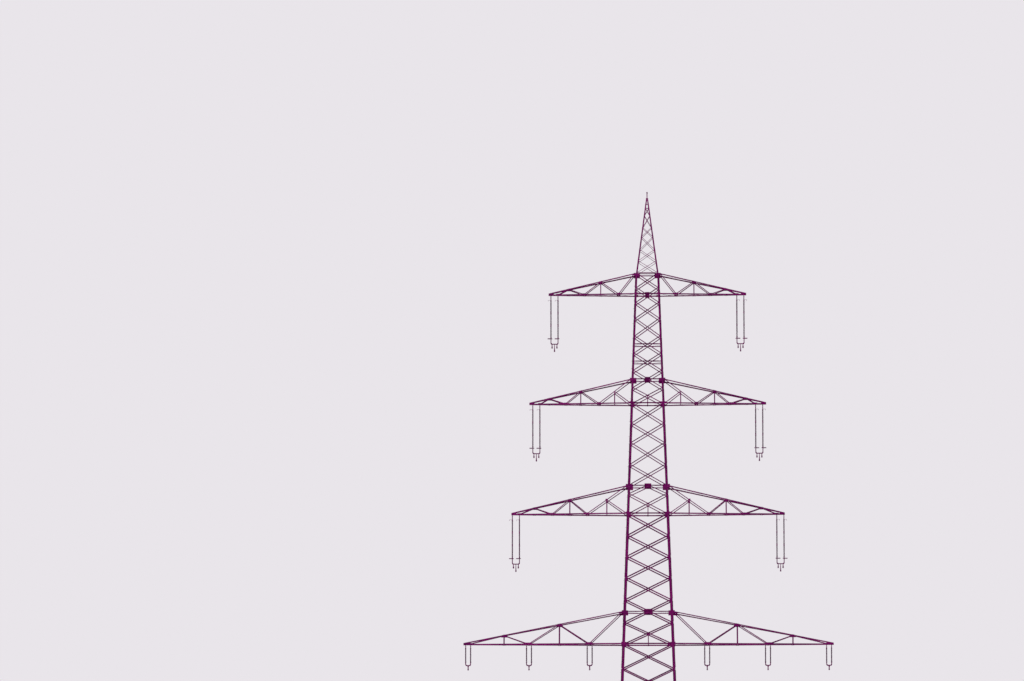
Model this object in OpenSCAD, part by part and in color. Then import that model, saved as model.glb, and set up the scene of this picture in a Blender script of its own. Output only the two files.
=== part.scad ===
// Lattice transmission pylon with four crossarms, at half of full size.
// Millimetres, +Z up, +X along the crossarms, +Y along the line that it carries.
// The origin is the middle of the base, at ground level.

/* [Tower outline] */
// Height of the top of the peak
peak_top_z = 31750; // [30500:10:33000]
// Height of the bend in the legs, at the top of the spread base
bend_z = 6780; // [6400:10:7000]
// Half the width over the legs at the ground
foot_half = 2050; // [1800:10:2300]
// Half the width over the legs at the bend
bend_half = 1365; // [1300:5:1450]
// Half the width over the legs at the foot of the peak
shoulder_half = 565; // [500:5:640]
// Half the width of the top of the peak
peak_half = 50; // [42:1:70]
// Top of the peak to the clamp on it
bracket_stem_h = 290; // [240:5:340]
// Gap left on each side of the bend, so that the two planes of plates stay clear
bend_gap = 40; // [30:1:60]
// From the bottom of crossarms 2 and 3 up to the splices of the legs
splice_rise = 220; // [180:5:260]

/* [Leg angles] */
// Flange of the base legs
base_leg_w = 114; // [105:1:135]
// Thickness of the base legs
base_leg_t = 12; // [8:1:16]
// Flanges of the three sections of the legs above the bend, the lowest first
leg_widths = [96, 83, 66];
// Thicknesses of those sections
leg_thicknesses = [10, 9, 8];
// Flange of the peak legs
peak_leg_w = 60; // [50:1:70]

/* [Body bracing] */
// Heights of the leg joints from the bend up to the bottom of crossarm 3
lower_nodes = [8072, 9277, 10365, 11488, 12592, 13653, 14699];
// Heights of the leg joints from crossarm 3 up to crossarm 1
upper_nodes = [18251, 19342, 20326, 22112, 22985, 23858, 24717, 25612, 26422, 27166];
// Height of the joint where the split panel of crossarm 3 meets the legs
split_node_z = 16785; // [16500:5:17000]
// Heights of the flat braces that cross the panels where two diagonals meet
tie_z = [7399, 23449, 24323];
// Width of a bracing angle above crossarm 3
brace_w = 44; // [36:1:56]
// Width of a bracing angle below crossarm 3
low_brace_w = 60; // [50:1:70]
// Thickness of a bracing angle, and of the plates that it is bolted to
brace_t = 5; // [4:0.5:7]
// How far the second flange of a bracing angle stands out
brace_out = 40; // [25:1:50]
// How far a bracing angle runs past its bolts
bar_end = 15; // [10:1:25]
// Gap between the legs and the bars and plates that are bolted to them
seat_gap = 0.05; // [0.03:0.01:0.2]
// Gap between the second flange of a bracing angle and the leg that it stops at
flange_gap = 12; // [5:1:30]

/* [Gusset plates] */
// Widths of the centre plates of a body face, from the top one down
centre_plate_w = [225, 280, 335, 430, 330];
// Heights of those plates
centre_plate_h = [160, 150, 145, 205, 210];
// Widths of the plates where the top chords of crossarms 1 to 4 meet the legs
top_plate_w = [310, 330, 365, 310];
// Heights of those plates
top_plate_h = [140, 145, 170, 150];
// Widths of the plates where the bottom chords meet the legs
low_plate_w = [200, 270, 280, 250];
// Heights of those plates
low_plate_h = [105, 120, 120, 150];
// Height of the plates in the side faces, which the crossarms butt against
side_plate_h = 230; // [200:5:280]
// Gap between the top plates and the foot of the peak
plate_gap = 5; // [3:1:10]
// Width of the plates at the crossings of the base diagonals
gusset_w = 400; // [300:5:460]
// Height of those plates
gusset_h = 280; // [200:5:300]
// Width of the plates that join the base diagonals to the legs
foot_plate_w = 190; // [150:5:240]
// Height of those plates
foot_plate_h = 330; // [240:5:400]
// Step inwards from the leg's gauge line to the middle of those plates
foot_plate_in = 55; // [40:1:80]

/* [Base bracing] */
// Height of the lowest joint on the legs
foot_node_z = 420; // [380:5:600]
// Height of the middle joint of the base legs
base_node_z = 3900; // [3600:10:4200]
// Width of the main base diagonals
base_brace_w = 65; // [55:1:80]
// Width of the short braces between leg and diagonal
sub_brace_w = 35; // [28:1:45]
// How far the second flange of a short brace stands out
sub_brace_out = 25; // [18:1:40]
// Bays of short braces in each corner of a base panel
sub_bays = 3; // [2:1:4]

/* [Footings] */
// Radius of a concrete footing head
footing_r = 330; // [260:5:400]
// Height of a footing head above the ground
footing_h = 200; // [120:5:300]
// Chamfer round its top edge
footing_chamfer = 30; // [10:1:50]

/* [Peak] */
// Leg joints of the peak, as shares of its height
peak_node_shares = [0.163, 0.313, 0.483, 0.61, 0.77, 0.87];
// Height of its uppermost tie, as such a share
peak_tie_share = 0.923; // [0.9:0.001:0.94]
// Width of the bracing flats of the peak
peak_brace_w = 22; // [18:1:30]
// How far the cap plate stands out past the top of the peak
cap_plate_out = 10; // [0:1:30]
// Thickness of the cap plate
cap_plate_t = 12; // [8:1:20]
// Width of the stem that carries the earth wire clamp, across the line
stem_w = 46; // [36:1:54]
// Width of that stem along the line
stem_depth = 60; // [40:1:90]

/* [Crossarms] */
// Height of the bottom chords of crossarms 1 to 4, the top one first
arm_bottom_z = [26832, 21316, 15777, 9277];
// Height of the top chords where they leave the legs
arm_top_z = [27916, 22576, 17222, 10929];
// Reach of each crossarm from the middle of the tower
arm_reach = [4966, 5938, 6840, 9236];
// Joints along the bottom chords, from the body outwards
arm_bottom_x = [[1444, 3170, 4494], [2444, 4116, 5401], [3039, 4792, 6439], [2945, 5975, 9002]];
// Joints along the top chords, from the body outwards
arm_top_x = [[2345, 3960], [3358, 4954], [3915, 5688], [4443, 7209]];
// Flange of the bottom chords
chord_w = [60, 60, 62, 66];
// Flange of the top chords
top_chord_w = [56, 56, 58, 50];
// Width of the bracing angles in a crossarm
arm_brace_w = 42; // [34:1:50]
// Widths of the joint plates of crossarms 1 to 4
joint_plate_w = [190, 190, 200, 320];
// How far those plates stand above and below their chords
joint_plate_out = [30, 30, 30, 45];
// Width of the plate where the root struts of crossarm 3 meet
strut_plate_w = 130; // [100:5:160]
// Height of that plate
strut_plate_h = 100; // [80:5:130]
// Length of the solid plate at the tip
tip_plate_w = 260; // [180:5:320]
// Where the first brace of a crossarm leaves the top chord, from the tower's face
first_brace_x = 60; // [40:1:80]
// First strut of a crossarm's top and bottom panels, from the tower's face
first_strut_x = 100; // [80:5:160]
// Width of the flat struts that carry the hangers
hanger_strut_w = 70; // [60:1:90]
// Half the depth of a crossarm at its tip
tip_half = 80; // [70:1:100]
// Half its depth across the top of the tip, where its sides lean in
tip_top_half = 75; // [65:1:95]
// Height of a crossarm at its tip
tip_rise = 110; // [90:1:140]

/* [Insulator sets] */
// Middle of each set on crossarms 1 to 3, from the middle of the tower
tip_set_x = [4672, 5587, 6615];
// Middle of each set on crossarm 4
low_set_x = [2931, 5961, 9002];
// Distance between the two strings of a long set
long_pitch = 355; // [330:1:380]
// Distance between the two strings of a short set
short_pitch = 246; // [236:1:270]
// Length of one long-rod insulator of a long set, with its caps
rod_length = 635; // [600:1:660]
// Length of the rods of a short set, with their caps
short_rod_length = 760; // [700:1:800]
// Radius of its porcelain core
core_r = 23; // [20:0.5:26]
// Radius of its sheds
shed_r = 45; // [41:0.5:49]
// Distance from shed to shed
shed_pitch = 24; // [22:0.5:40]
// Radius of the cap at each end of a rod
cap_r = 31; // [28:0.5:34]
// Length of such a cap
cap_length = 55; // [45:1:65]
// Rods in each string of a long set
rods_in_long = 3; // [2:1:3]
// Pivot to the first rod
top_link = 172; // [150:1:200]
// Last rod to the middle of the yoke, in a long set
bottom_link = 275; // [240:1:300]
// Pivot to the rod of a short set
short_top_link = 75; // [70:1:100]
// Rod to the middle of the yoke, in a short set
short_bottom_link = 82; // [70:1:120]
// Drop from the yoke of a long set to its two upper conductor clamps
upper_clamp_drop = 216; // [190:1:240]
// Drop from the yoke of a long set to its lower clamp
lower_clamp_drop = 390; // [370:1:410]
// Drop from the yoke of a short set to its clamp
short_clamp_drop = 240; // [200:1:270]
// Distance between the two upper clamps
clamp_pitch = 244; // [220:1:250]
// Width of the flat links above and below the insulators
link_w = 44; // [36:1:50]
// Thickness of those links
link_t = 14; // [10:1:18]
// Height of a yoke plate above its middle
yoke_rise = 30; // [24:1:40]
// Height of a yoke plate below its middle
yoke_drop = 62; // [50:1:80]
// How much narrower than the strings the foot of a yoke plate is, on each side
yoke_taper = 38; // [25:1:50]
// Width of the arms and of the foot of a yoke plate
yoke_band = 48; // [40:1:56]
// Thickness of a yoke plate
yoke_t = 16; // [12:1:22]
// Half the width of an arcing ring
ring_half = 58; // [52:1:68]
// Length of the straight sides of an arcing ring
ring_reach = 100; // [60:5:140]
// Radius of the tube of a ring
ring_tube_r = 19; // [12:0.5:22]
// Drop from the lower end of a string to its ring
ring_drop = 38; // [30:1:50]
// Length of the arcing horn above a string
horn_reach = 140; // [80:5:180]
// Length of its end that turns down
horn_drop = 70; // [40:5:100]
// Radius of such a horn
horn_r = 6; // [5:0.5:9]
// Radius of the bore of a conductor clamp
clamp_bore_r = 6; // [4:0.5:8]
// Length of a conductor clamp
clamp_length = 150; // [120:1:180]
// Width of a conductor clamp
clamp_w = 46; // [36:1:54]
// Height of a conductor clamp
clamp_h = 76; // [60:1:90]
// Height of the hanger's foot above the bore
hanger_foot = 84; // [70:1:100]
// Width of the hanger of a long set's clamp at its top
hanger_w = 24; // [18:1:30]
// Width of the hanger of a short set's clamp at its top
short_hanger_w = 88; // [70:1:100]
// Thickness of a hanger along the line
hanger_t = 28; // [20:1:34]

/* [Hangers] */
// Thickness of a hanger lug
lug_t = 22; // [18:1:26]
// Width of a hanger lug
lug_w = 60; // [50:1:70]
// Pivot below the bottom face of the crossarm
pivot_drop = 60; // [50:1:75]
// Radius of the pivot pin
pin_r = 8; // [6:0.5:10]
// Radial clearance of the pin in its lug
pin_gap = 0.3; // [0.2:0.05:0.6]
// Side clearance between a lug and the ears round it
ear_gap = 1; // [0.5:0.1:2]
// Thickness of an ear
ear_t = 9; // [7:0.5:11]
// Radius of the ears' round tops
ear_r = 20; // [15:0.5:26]
// Thickness of the bridge that joins the ears below the lug
bridge_h = 22; // [16:1:30]
// Gap between the bridge and the lug
bridge_gap = 8; // [4:1:14]
// How far the pin runs past each ear
pin_end = 8; // [4:1:14]

/* [Hidden] */
$fn = 48;

steel = "#5f1051";
porcelain = "#46143f";
concrete = "#7c4a74";

// Quarter turns from the front face to each of the four faces or corners
FRONT = 0;
RIGHT = 1;
REAR = 2;
LEFT = 3;

shoulder_z = arm_top_z[0];
// Tops of the three sections of the legs; the lowest one is also where the faces are split
leg_tops = [arm_bottom_z[2] + splice_rise, arm_bottom_z[1] + splice_rise, shoulder_z];
splice_z = leg_tops[0];
leg_w = leg_widths[0];
body_slope = (bend_half - shoulder_half) / (shoulder_z - bend_z);
base_slope = (foot_half - bend_half) / bend_z;
peak_slope = (shoulder_half - peak_half) / (peak_top_z - shoulder_z);
gauge = leg_w / 2;
far = 60000;

function body_half(z) = shoulder_half + (shoulder_z - z) * body_slope;
function base_half(z) = bend_half + (bend_z - z) * base_slope;
function peak_half_at(z) = shoulder_half - (z - shoulder_z) * peak_slope;
function unit(v) = v / norm(v);
function mix(a, b, t) = a + (b - a) * t;

// Placing

// Puts a shape's x, y and z axes along three unit vectors, from a point
module place(origin, x, y, z) {
    multmatrix([
        [x[0], y[0], z[0], origin[0]],
        [x[1], y[1], z[1], origin[1]],
        [x[2], y[2], z[2], origin[2]]
    ]) children();
}

// A face of the tower: x across it, y up its slope, z out of it, from its foot
module on_face(turn, foot_z, half, slope) {
    rotate([0, 0, 90 * turn]) translate([0, -half, foot_z])
        rotate([90 - atan(slope), 0, 0]) translate([0, 0, seat_gap]) children();
}

// Height in the tower to height up the slope of a face
function up(z, foot_z, slope) = (z - foot_z) / cos(atan(slope));

// Bars

// Flat side of a bar between two points
module strip(a, b, w, over = 0) {
    run = b - a;
    translate(a) rotate(atan2(run[1], run[0])) translate([-over, -w / 2])
        square([norm(run) + 2 * over, w]);
}

// Edge view of a bar's second flange, cut back by cope at each end
module edge(a, b, w, t, cope) {
    run = b - a;
    translate(a) rotate(atan2(run[1], run[0])) translate([cope, w / 2 - t])
        square([norm(run) - 2 * cope, t]);
}

module plate(p, w, h, turn = 0) {
    translate(p) rotate(turn) square([w, h], center = true);
}

// Angles that share a plane: one flange flat in it and the other standing out
module angles(bars, w, t, out, cope, over) {
    linear_extrude(t) {
        for (bar = bars) strip(bar[0], bar[1], w, over);
        children();
    }
    linear_extrude(out) for (bar = bars) edge(bar[0], bar[1], w, t, cope);
}

// Legs

// Leg angle in the corner to the right of the front face, with its heel on the edge.
// Each section is [top, flange, thickness] and starts at the foot, the widest first.
module corner_angle(from_z, foot_z, half, slope, sections, turn) {
    tilt = atan(slope);
    along = unit([-slope, slope, 1]);
    across = unit([-1, -sin(tilt) * sin(tilt), -sin(tilt) * cos(tilt)]);
    back = unit([sin(tilt) * sin(tilt), 1, -sin(tilt) * cos(tilt)]);
    side = cross(along, across);
    b = [back * across, back * side];
    a = [1, 0];
    stretch = norm([slope, slope, 1]);
    past = sections[0][1];
    start = from_z - foot_z - past;
    rotate([0, 0, 90 * turn]) for (section = sections) {
        top = section[0];
        w = section[1];
        t = section[2];
        intersection() {
            place([half - slope * start, -half + slope * start, foot_z + start], across, side, along)
                linear_extrude((top - from_z + 2 * past) * stretch)
                    polygon([[0, 0], a * w, a * w + b * t, a * t + b * t, a * t + b * w, b * w]);
            translate([0, -far, from_z]) cube([far, far, top - from_z]);
        }
    }
}

module base_leg(turn) {
    color(steel)
        corner_angle(footing_h, 0, foot_half, base_slope, [[bend_z, base_leg_w, base_leg_t]], turn);
}

module body_leg(turn) {
    sections = [for (i = [0 : 2]) [leg_tops[i], leg_widths[i], leg_thicknesses[i]]];
    color(steel) corner_angle(bend_z, bend_z, bend_half, body_slope, sections, turn);
}

// Footings

module footings() {
    seat = foot_half - base_slope * footing_h - base_leg_w / 3;
    color(concrete) for (x = [-1, 1], y = [-1, 1]) translate([x * seat, y * seat, 0]) {
        cylinder(r = footing_r, h = footing_h - footing_chamfer);
        translate([0, 0, footing_h - footing_chamfer])
            cylinder(r1 = footing_r, r2 = footing_r - footing_chamfer, h = footing_chamfer);
    }
}

// Base faces

// A point on a base face, from its height and its share of the width between the leg gauges
function base_point(z, share) = [share * (base_half(z) - gauge), up(z, 0, base_slope)];

// Share of the width where a diagonal from foot a to head b is at height z
function diagonal_share(z, a, b) =
    let (x = mix(-(base_half(a) - gauge), base_half(b) - gauge, (z - a) / (b - a)))
    x / (base_half(z) - gauge);

// Height at which the two diagonals of a panel cross
function crossing(a, b, half_a, half_b) = a + (b - a) * half_a / (half_a + half_b);

// Short braces between the left leg and a diagonal, from its end on the leg to the crossing
function sub_braces(end_z, cross_z, a, b, side) = [
    for (i = [1 : sub_bays - 1])
        let (z = mix(end_z, cross_z, i / sub_bays), next = mix(end_z, cross_z, (i + 1) / sub_bays),
            share = side * abs(diagonal_share(z, a, b)))
        each [[base_point(z, side), base_point(z, share)], [base_point(z, share), base_point(next, side)]]
];

module base_face(turn) {
    top = bend_z - bend_gap;
    panels = [[foot_node_z, base_node_z], [base_node_z, top]];
    diagonals = [for (p = panels, side = [-1, 1]) [base_point(p[0], side), base_point(p[1], -side)]];
    crossings = [for (p = panels) crossing(p[0], p[1], base_half(p[0]) - gauge, base_half(p[1]) - gauge)];
    ties = [for (z = concat(crossings, [top])) [base_point(z, -1), base_point(z, 1)]];
    subs = [for (i = [0, 1], side = [-1, 1]) let (p = panels[i], z = crossings[i]) each concat(
        sub_braces(p[0], z, p[0], p[1], side), sub_braces(p[1], z, p[0], p[1], side))];
    color(steel) on_face(turn, 0, foot_half, base_slope) {
        angles(concat(diagonals, ties), base_brace_w, brace_t, brace_out, base_leg_w, bar_end) {
            for (z = crossings) plate(base_point(z, 0), gusset_w, gusset_h);
            for (side = [-1, 1], z = [foot_node_z, base_node_z])
                plate(base_point(z, side) - [side * foot_plate_in, 0], foot_plate_w, foot_plate_h,
                    side * atan(base_slope));
        }
        angles(subs, sub_brace_w, brace_t, sub_brace_out, base_leg_w - gauge + flange_gap, bar_end);
    }
}

// Body faces

function body_point(z, share) = [share * (body_half(z) - gauge), up(z, bend_z, body_slope)];

// Levels of the heavy and light ties, of the centre plates and of all the panels' ends
top_tie_z = shoulder_z - brace_w / 2 - plate_gap;
heavy_tie_z = [for (i = [0 : 3]) arm_bottom_z[i] + chord_w[i] / 2];
light_tie_z = concat([for (i = [1 : 3]) arm_top_z[i] - brace_w / 2], tie_z);
centre_plate_z = [heavy_tie_z[0], arm_top_z[1], arm_top_z[2], arm_top_z[3], tie_z[0]];
low_ends = concat([bend_z + bend_gap], lower_nodes, [arm_bottom_z[2], split_node_z]);
high_ends = concat([arm_top_z[2]], [for (z = upper_nodes) if (z < arm_bottom_z[1]) z], [arm_bottom_z[1]],
    [for (z = upper_nodes) if (z > arm_bottom_z[1]) z], [top_tie_z]);
body_panels = [for (ends = [low_ends, high_ends], i = [1 : len(ends) - 1]) [ends[i - 1], ends[i]]];

// Middle height of a plate of height h at the top chords of crossarm i, kept below the shoulder
function top_plate_z(i, h) = min(arm_top_z[i] - brace_w, shoulder_z - h / 2 - plate_gap);

// Joint plates on a leg's gauge line
module leg_plates(z, w, h) {
    for (side = [-1, 1]) plate(body_point(z, side), w, h, side * atan(body_slope));
}

function panel_diagonals(panels) =
    [for (p = panels, side = [-1, 1]) [body_point(p[0], side), body_point(p[1], -side)]];
function body_ties(heights) = [for (z = heights) [body_point(z, -1), body_point(z, 1)]];

// Bars and plates of a whole body face; the plates reach past the legs where crossarms leave
module body_lattice(past_legs) {
    low_panels = [for (p = body_panels) if (p[0] < arm_bottom_z[2]) p];
    high_panels = [for (p = body_panels) if (p[0] >= arm_bottom_z[2]) p];
    halves = [for (side = [-1, 1]) [body_point(split_node_z, side), body_point(arm_top_z[2], 0)]];
    // Short posts from the bottom tie of a crossarm up to the crossing above it
    posts = [for (p = body_panels, z = arm_bottom_z) if (p[0] == z) [
        body_point(z, 0), body_point(crossing(p[0], p[1], body_half(p[0]), body_half(p[1])), 0)]];
    cope = leg_w + flange_gap;
    narrow = leg_w - flange_gap;
    high_bars = concat(panel_diagonals(high_panels), halves, posts, body_ties(concat([top_tie_z], light_tie_z)));
    angles(panel_diagonals(low_panels), low_brace_w, brace_t, brace_out, cope, bar_end);
    angles(high_bars, brace_w, brace_t, brace_out, cope, bar_end) {
        for (i = [0 : len(centre_plate_z) - 1])
            plate(body_point(centre_plate_z[i], 0), centre_plate_w[i], centre_plate_h[i]);
        for (i = [0 : 3]) {
            low_h = past_legs ? low_plate_h[i] : side_plate_h;
            top_h = past_legs ? top_plate_h[i] : side_plate_h;
            leg_plates(arm_bottom_z[i] + brace_w, past_legs ? low_plate_w[i] : narrow, low_h);
            leg_plates(top_plate_z(i, top_h), past_legs ? top_plate_w[i] : narrow, top_h);
        }
    }
    for (i = [0 : 3]) angles(body_ties([heavy_tie_z[i]]), chord_w[i], brace_t, brace_out, cope, bar_end);
}

module body_face(turn, from_z, to_z) {
    foot = up(from_z, bend_z, body_slope);
    head = up(to_z, bend_z, body_slope);
    color(steel) on_face(turn, bend_z, bend_half, body_slope) intersection() {
        body_lattice(turn == FRONT || turn == REAR);
        translate([-bend_half - leg_w, foot, -leg_w]) cube([2 * (bend_half + leg_w), head - foot, 2 * leg_w]);
    }
}

// Plan bracing

// Diamond of flat bars between the middles of the four faces
module diamond(z, w) {
    half = body_half(z + brace_t);
    corners = [[half, 0], [0, half], [-half, 0], [0, -half]];
    translate([0, 0, z]) linear_extrude(brace_t) intersection() {
        square(2 * half, center = true);
        for (i = [0 : 3]) strip(corners[i], corners[(i + 1) % 4], w, w);
    }
}

module plan_bracing() {
    color(steel) for (z = concat(heavy_tie_z, light_tie_z)) diamond(z - brace_t / 2, brace_w);
}

// Peak

// A point on a peak face, from its height and its share of the width between the middles of the legs
function peak_point(z, share) =
    [share * max(peak_half_at(z) - peak_leg_w / 2, 0), up(z, shoulder_z, peak_slope)];

function peak_edge(z, side) = [side * peak_half_at(z), up(z, shoulder_z, peak_slope)];

module peak_face() {
    ends = [for (share = concat([0], peak_node_shares)) mix(shoulder_z, peak_top_z, share)];
    last = len(ends) - 1;
    diagonals = [for (i = [1 : last], side = [-1, 1])
        [peak_point(ends[i - 1], side), peak_point(ends[i], -side)]];
    tie_heights = [shoulder_z + brace_w / 2, ends[last], mix(shoulder_z, peak_top_z, peak_tie_share)];
    ties = [for (z = tie_heights) [peak_point(z, -1), peak_point(z, 1)]];
    inset = [peak_leg_w / 2, 0];
    outline = [peak_edge(shoulder_z, -1), peak_edge(shoulder_z, 1),
        peak_edge(peak_top_z, 1), peak_edge(peak_top_z, -1)];
    linear_extrude(brace_t) intersection() {
        polygon(outline);
        union() {
            for (side = [-1, 1]) strip(peak_edge(shoulder_z, side) - side * inset,
                peak_edge(peak_top_z, side) - side * inset, peak_leg_w, peak_leg_w);
            for (bar = concat(diagonals, ties)) strip(bar[0], bar[1], peak_brace_w, bar_end);
        }
    }
}

module peak() {
    color(steel) intersection() {
        for (turn = [0 : 3]) on_face(turn, shoulder_z, shoulder_half, peak_slope)
            translate([0, 0, -brace_t - seat_gap]) peak_face();
        translate([-far / 2, -far / 2, shoulder_z]) cube([far, far, peak_top_z - shoulder_z]);
    }
}

// Cap plate, stem and clamp on top of the peak
module peak_bracket() {
    cap_w = 2 * (peak_half + cap_plate_out);
    color(steel) translate([0, 0, peak_top_z]) difference() {
        union() {
            translate([-cap_w / 2, -cap_w / 2, 0]) cube([cap_w, cap_w, cap_plate_t]);
            translate([-stem_w / 2, -stem_depth / 2, 0]) cube([stem_w, stem_depth, bracket_stem_h]);
            translate([0, 0, bracket_stem_h]) clamp_body();
        }
        translate([0, 0, bracket_stem_h]) clamp_bore();
    }
}

// Crossarms

// Half the depth of crossarm i at a distance from the middle of the tower
function arm_half(i, x) =
    let (root = body_half(arm_bottom_z[i]))
    mix(root, tip_half, (x - root) / (arm_reach[i] - root));

// Middles of the sets that hang from crossarm i, and the distance between their strings
function set_x(i) = i < 3 ? [tip_set_x[i]] : low_set_x;
function set_pitch(i) = i < 3 ? long_pitch : short_pitch;
function hanger_x(i) = [for (x = set_x(i), side = [-1, 1]) x + side * set_pitch(i) / 2];

// Front truss of crossarm i: bottom chord along x, top chord above it
module arm_side(i) {
    low = [body_half(arm_bottom_z[i]), -body_half(arm_bottom_z[i]), arm_bottom_z[i]];
    high = [body_half(arm_top_z[i]), -body_half(arm_top_z[i]), arm_top_z[i]];
    tip = [arm_reach[i], -tip_half, arm_bottom_z[i]];
    along = unit(tip - low);
    out = unit(cross(along, high - low));
    rise = cross(out, along);
    reach = norm(tip - low);
    top = [(high - low) * along, (high - low) * rise];
    end = [reach, tip_rise];
    w = chord_w[i];
    top_w = top_chord_w[i];
    function bottom(x) = [(x - low[0]) / along[0], w / 2];
    function upper(x) =
        let (s = (x - low[0]) / along[0])
        [s, mix(top[1], end[1], (s - top[0]) / (end[0] - top[0])) - top_w / 2];
    start = upper(low[0] + first_brace_x);
    zigzag = [start, bottom(arm_bottom_x[i][0]), upper(arm_top_x[i][0]), bottom(arm_bottom_x[i][1]),
        upper(arm_top_x[i][1]), bottom(arm_bottom_x[i][2])];
    half_way = mix(zigzag[0], zigzag[1], 0.5);
    webs = [for (k = [1 : len(zigzag) - 1]) [zigzag[k - 1], zigzag[k]]];
    post_x = i < 3 ? [arm_top_x[i][0]] : arm_top_x[i];
    posts = [for (x = post_x) [upper(x), bottom(x)]];
    split_root = i == 1 || i == 2;
    root_struts = split_root ? [for (x = [half_way[0], w]) [half_way, [x, w / 2]]] : [];
    bars = concat(webs, posts, root_struts);
    place(low, along, rise, out) translate([0, 0, -brace_t]) {
        linear_extrude(brace_t) {
            translate([-leg_w, -w]) square([reach + 2 * leg_w, 2 * w]);
            strip(top - [0, top_w / 2], end - [0, top_w / 2], top_w, leg_w);
            strip(top, end, top_w, leg_w);
            for (bar = bars) strip(bar[0], bar[1], arm_brace_w, bar_end);
            for (p = zigzag) plate(p, joint_plate_w[i], w + 2 * joint_plate_out[i]);
            if (i == 2) plate(half_way, strut_plate_w, strut_plate_h);
            translate([reach - tip_plate_w, 0]) square([tip_plate_w + leg_w, w + tip_rise]);
        }
        translate([0, 0, brace_t - brace_out]) linear_extrude(brace_out)
            for (bar = bars) edge(bar[0], bar[1], arm_brace_w, brace_t, w);
    }
}

// Flat panel between two chords from start to end, [distance, half width] each, with bars at the stations
module ladder(start, end, stations, halves, w) {
    for (side = [-1, 1])
        strip([start[0], side * (start[1] - w / 2)], [end[0], side * (end[1] - w / 2)], w, leg_w);
    for (k = [1 : len(stations) - 1]) {
        near = halves[k - 1] - w / 2;
        away = halves[k] - w / 2;
        strip([stations[k], -away], [stations[k], away], arm_brace_w);
        for (side = [-1, 1]) strip([stations[k - 1], side * near], [stations[k], -side * away], arm_brace_w);
    }
}

// Outline of such a panel, cut square at its ends and kept inside the side trusses
module panel_outline(start, end) {
    inset = [0, brace_t / 2];
    a = start - inset;
    b = end - inset;
    polygon([[a[0], -a[1]], [b[0], -b[1]], b, a]);
}

module arm_bottom(i) {
    root = body_half(arm_bottom_z[i]);
    start = [root - leg_w, arm_half(i, root - leg_w)];
    end = [arm_reach[i], tip_half];
    joints = concat([root + first_strut_x], [for (k = [0 : 1]) each [arm_bottom_x[i][k], arm_top_x[i][k]]]);
    translate([0, 0, arm_bottom_z[i]]) linear_extrude(brace_t) intersection() {
        panel_outline(start, end);
        union() {
            ladder(start, end, joints, [for (x = joints) arm_half(i, x)], chord_w[i]);
            for (x = hanger_x(i))
                translate([x - hanger_strut_w / 2, -root]) square([hanger_strut_w, 2 * root]);
        }
    }
}

module arm_top(i) {
    root = body_half(arm_top_z[i]);
    tilt = atan((arm_top_z[i] - arm_bottom_z[i] - tip_rise) / (arm_reach[i] - root));
    depth = function(x) mix(root, tip_top_half, (x - root) / (arm_reach[i] - root));
    start = [-leg_w, depth(root - leg_w)];
    end = [(arm_reach[i] - root + leg_w) / cos(tilt), depth(arm_reach[i] + leg_w)];
    stations = concat([root + first_strut_x], arm_top_x[i]);
    along = [for (x = stations) (x - root) / cos(tilt)];
    translate([root, 0, arm_top_z[i]]) rotate([0, tilt, 0]) translate([0, 0, -brace_t])
        linear_extrude(2 * brace_t) intersection() {
            panel_outline(start, end);
            ladder(start, end, along, [for (x = stations) depth(x)], top_chord_w[i]);
        }
}

// Lug with the pivot hole of one string, under a strut of the crossarm
module lug(x, z) {
    translate([x - lug_t / 2, 0, z - pivot_drop]) rotate([90, 0, 90]) linear_extrude(lug_t) difference() {
        union() {
            circle(r = lug_w / 2);
            translate([-lug_w / 2, 0]) square([lug_w, pivot_drop + brace_t / 2]);
        }
        circle(r = pin_r + pin_gap);
    }
}

// Wedge between the bottom and top faces of crossarm i, from inside the tower to the tip
module arm_wedge(i) {
    tip = [arm_reach[i], arm_bottom_z[i] + tip_rise];
    top = [body_half(arm_top_z[i]), arm_top_z[i]];
    past = top + leg_w * unit(top - tip);
    rotate([90, 0, 0]) linear_extrude(2 * bend_half, center = true)
        polygon([[past[0], arm_bottom_z[i]], [tip[0], arm_bottom_z[i]], tip, past]);
}

module crossarm(i, side) {
    color(steel) mirror([side < 0 ? 1 : 0, 0, 0]) {
        difference() {
            union() {
                intersection() {
                    union() {
                        for (turn = [0, 1]) mirror([0, turn, 0]) arm_side(i);
                        arm_top(i);
                    }
                    arm_wedge(i);
                }
                arm_bottom(i);
            }
            on_face(RIGHT, bend_z, bend_half, body_slope)
                translate([-far / 2, -far / 2, -far]) cube([far, far, far + brace_t + seat_gap]);
        }
        for (x = hanger_x(i)) lug(x, arm_bottom_z[i]);
    }
}

// Insulator sets, each drawn from the middle of its pivot line, with its rings and horns to the left

// Outline of one long rod, turned about its axis, from its top downwards
function rod_outline(length) =
    let (span = length - 2 * cap_length, sheds = round(span / shed_pitch), pitch = span / sheds)
    concat(
        [[0, 0], [cap_r, 0], [cap_r, -cap_length], [core_r, -cap_length]],
        [for (k = [0 : sheds - 1]) let (z = -cap_length - k * pitch) each [
            [core_r, z - pitch * 0.25], [shed_r, z - pitch * 0.62], [core_r, z - pitch * 0.8]]],
        [[core_r, cap_length - length], [cap_r, cap_length - length], [cap_r, -length], [0, -length]]);

module rod(length) {
    rotate_extrude() polygon(rod_outline(length));
}

// Flat link from its top downwards
module flat_link(length) {
    translate([-link_w / 2, -link_t / 2, -length]) cube([link_w, link_t, length]);
}

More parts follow.
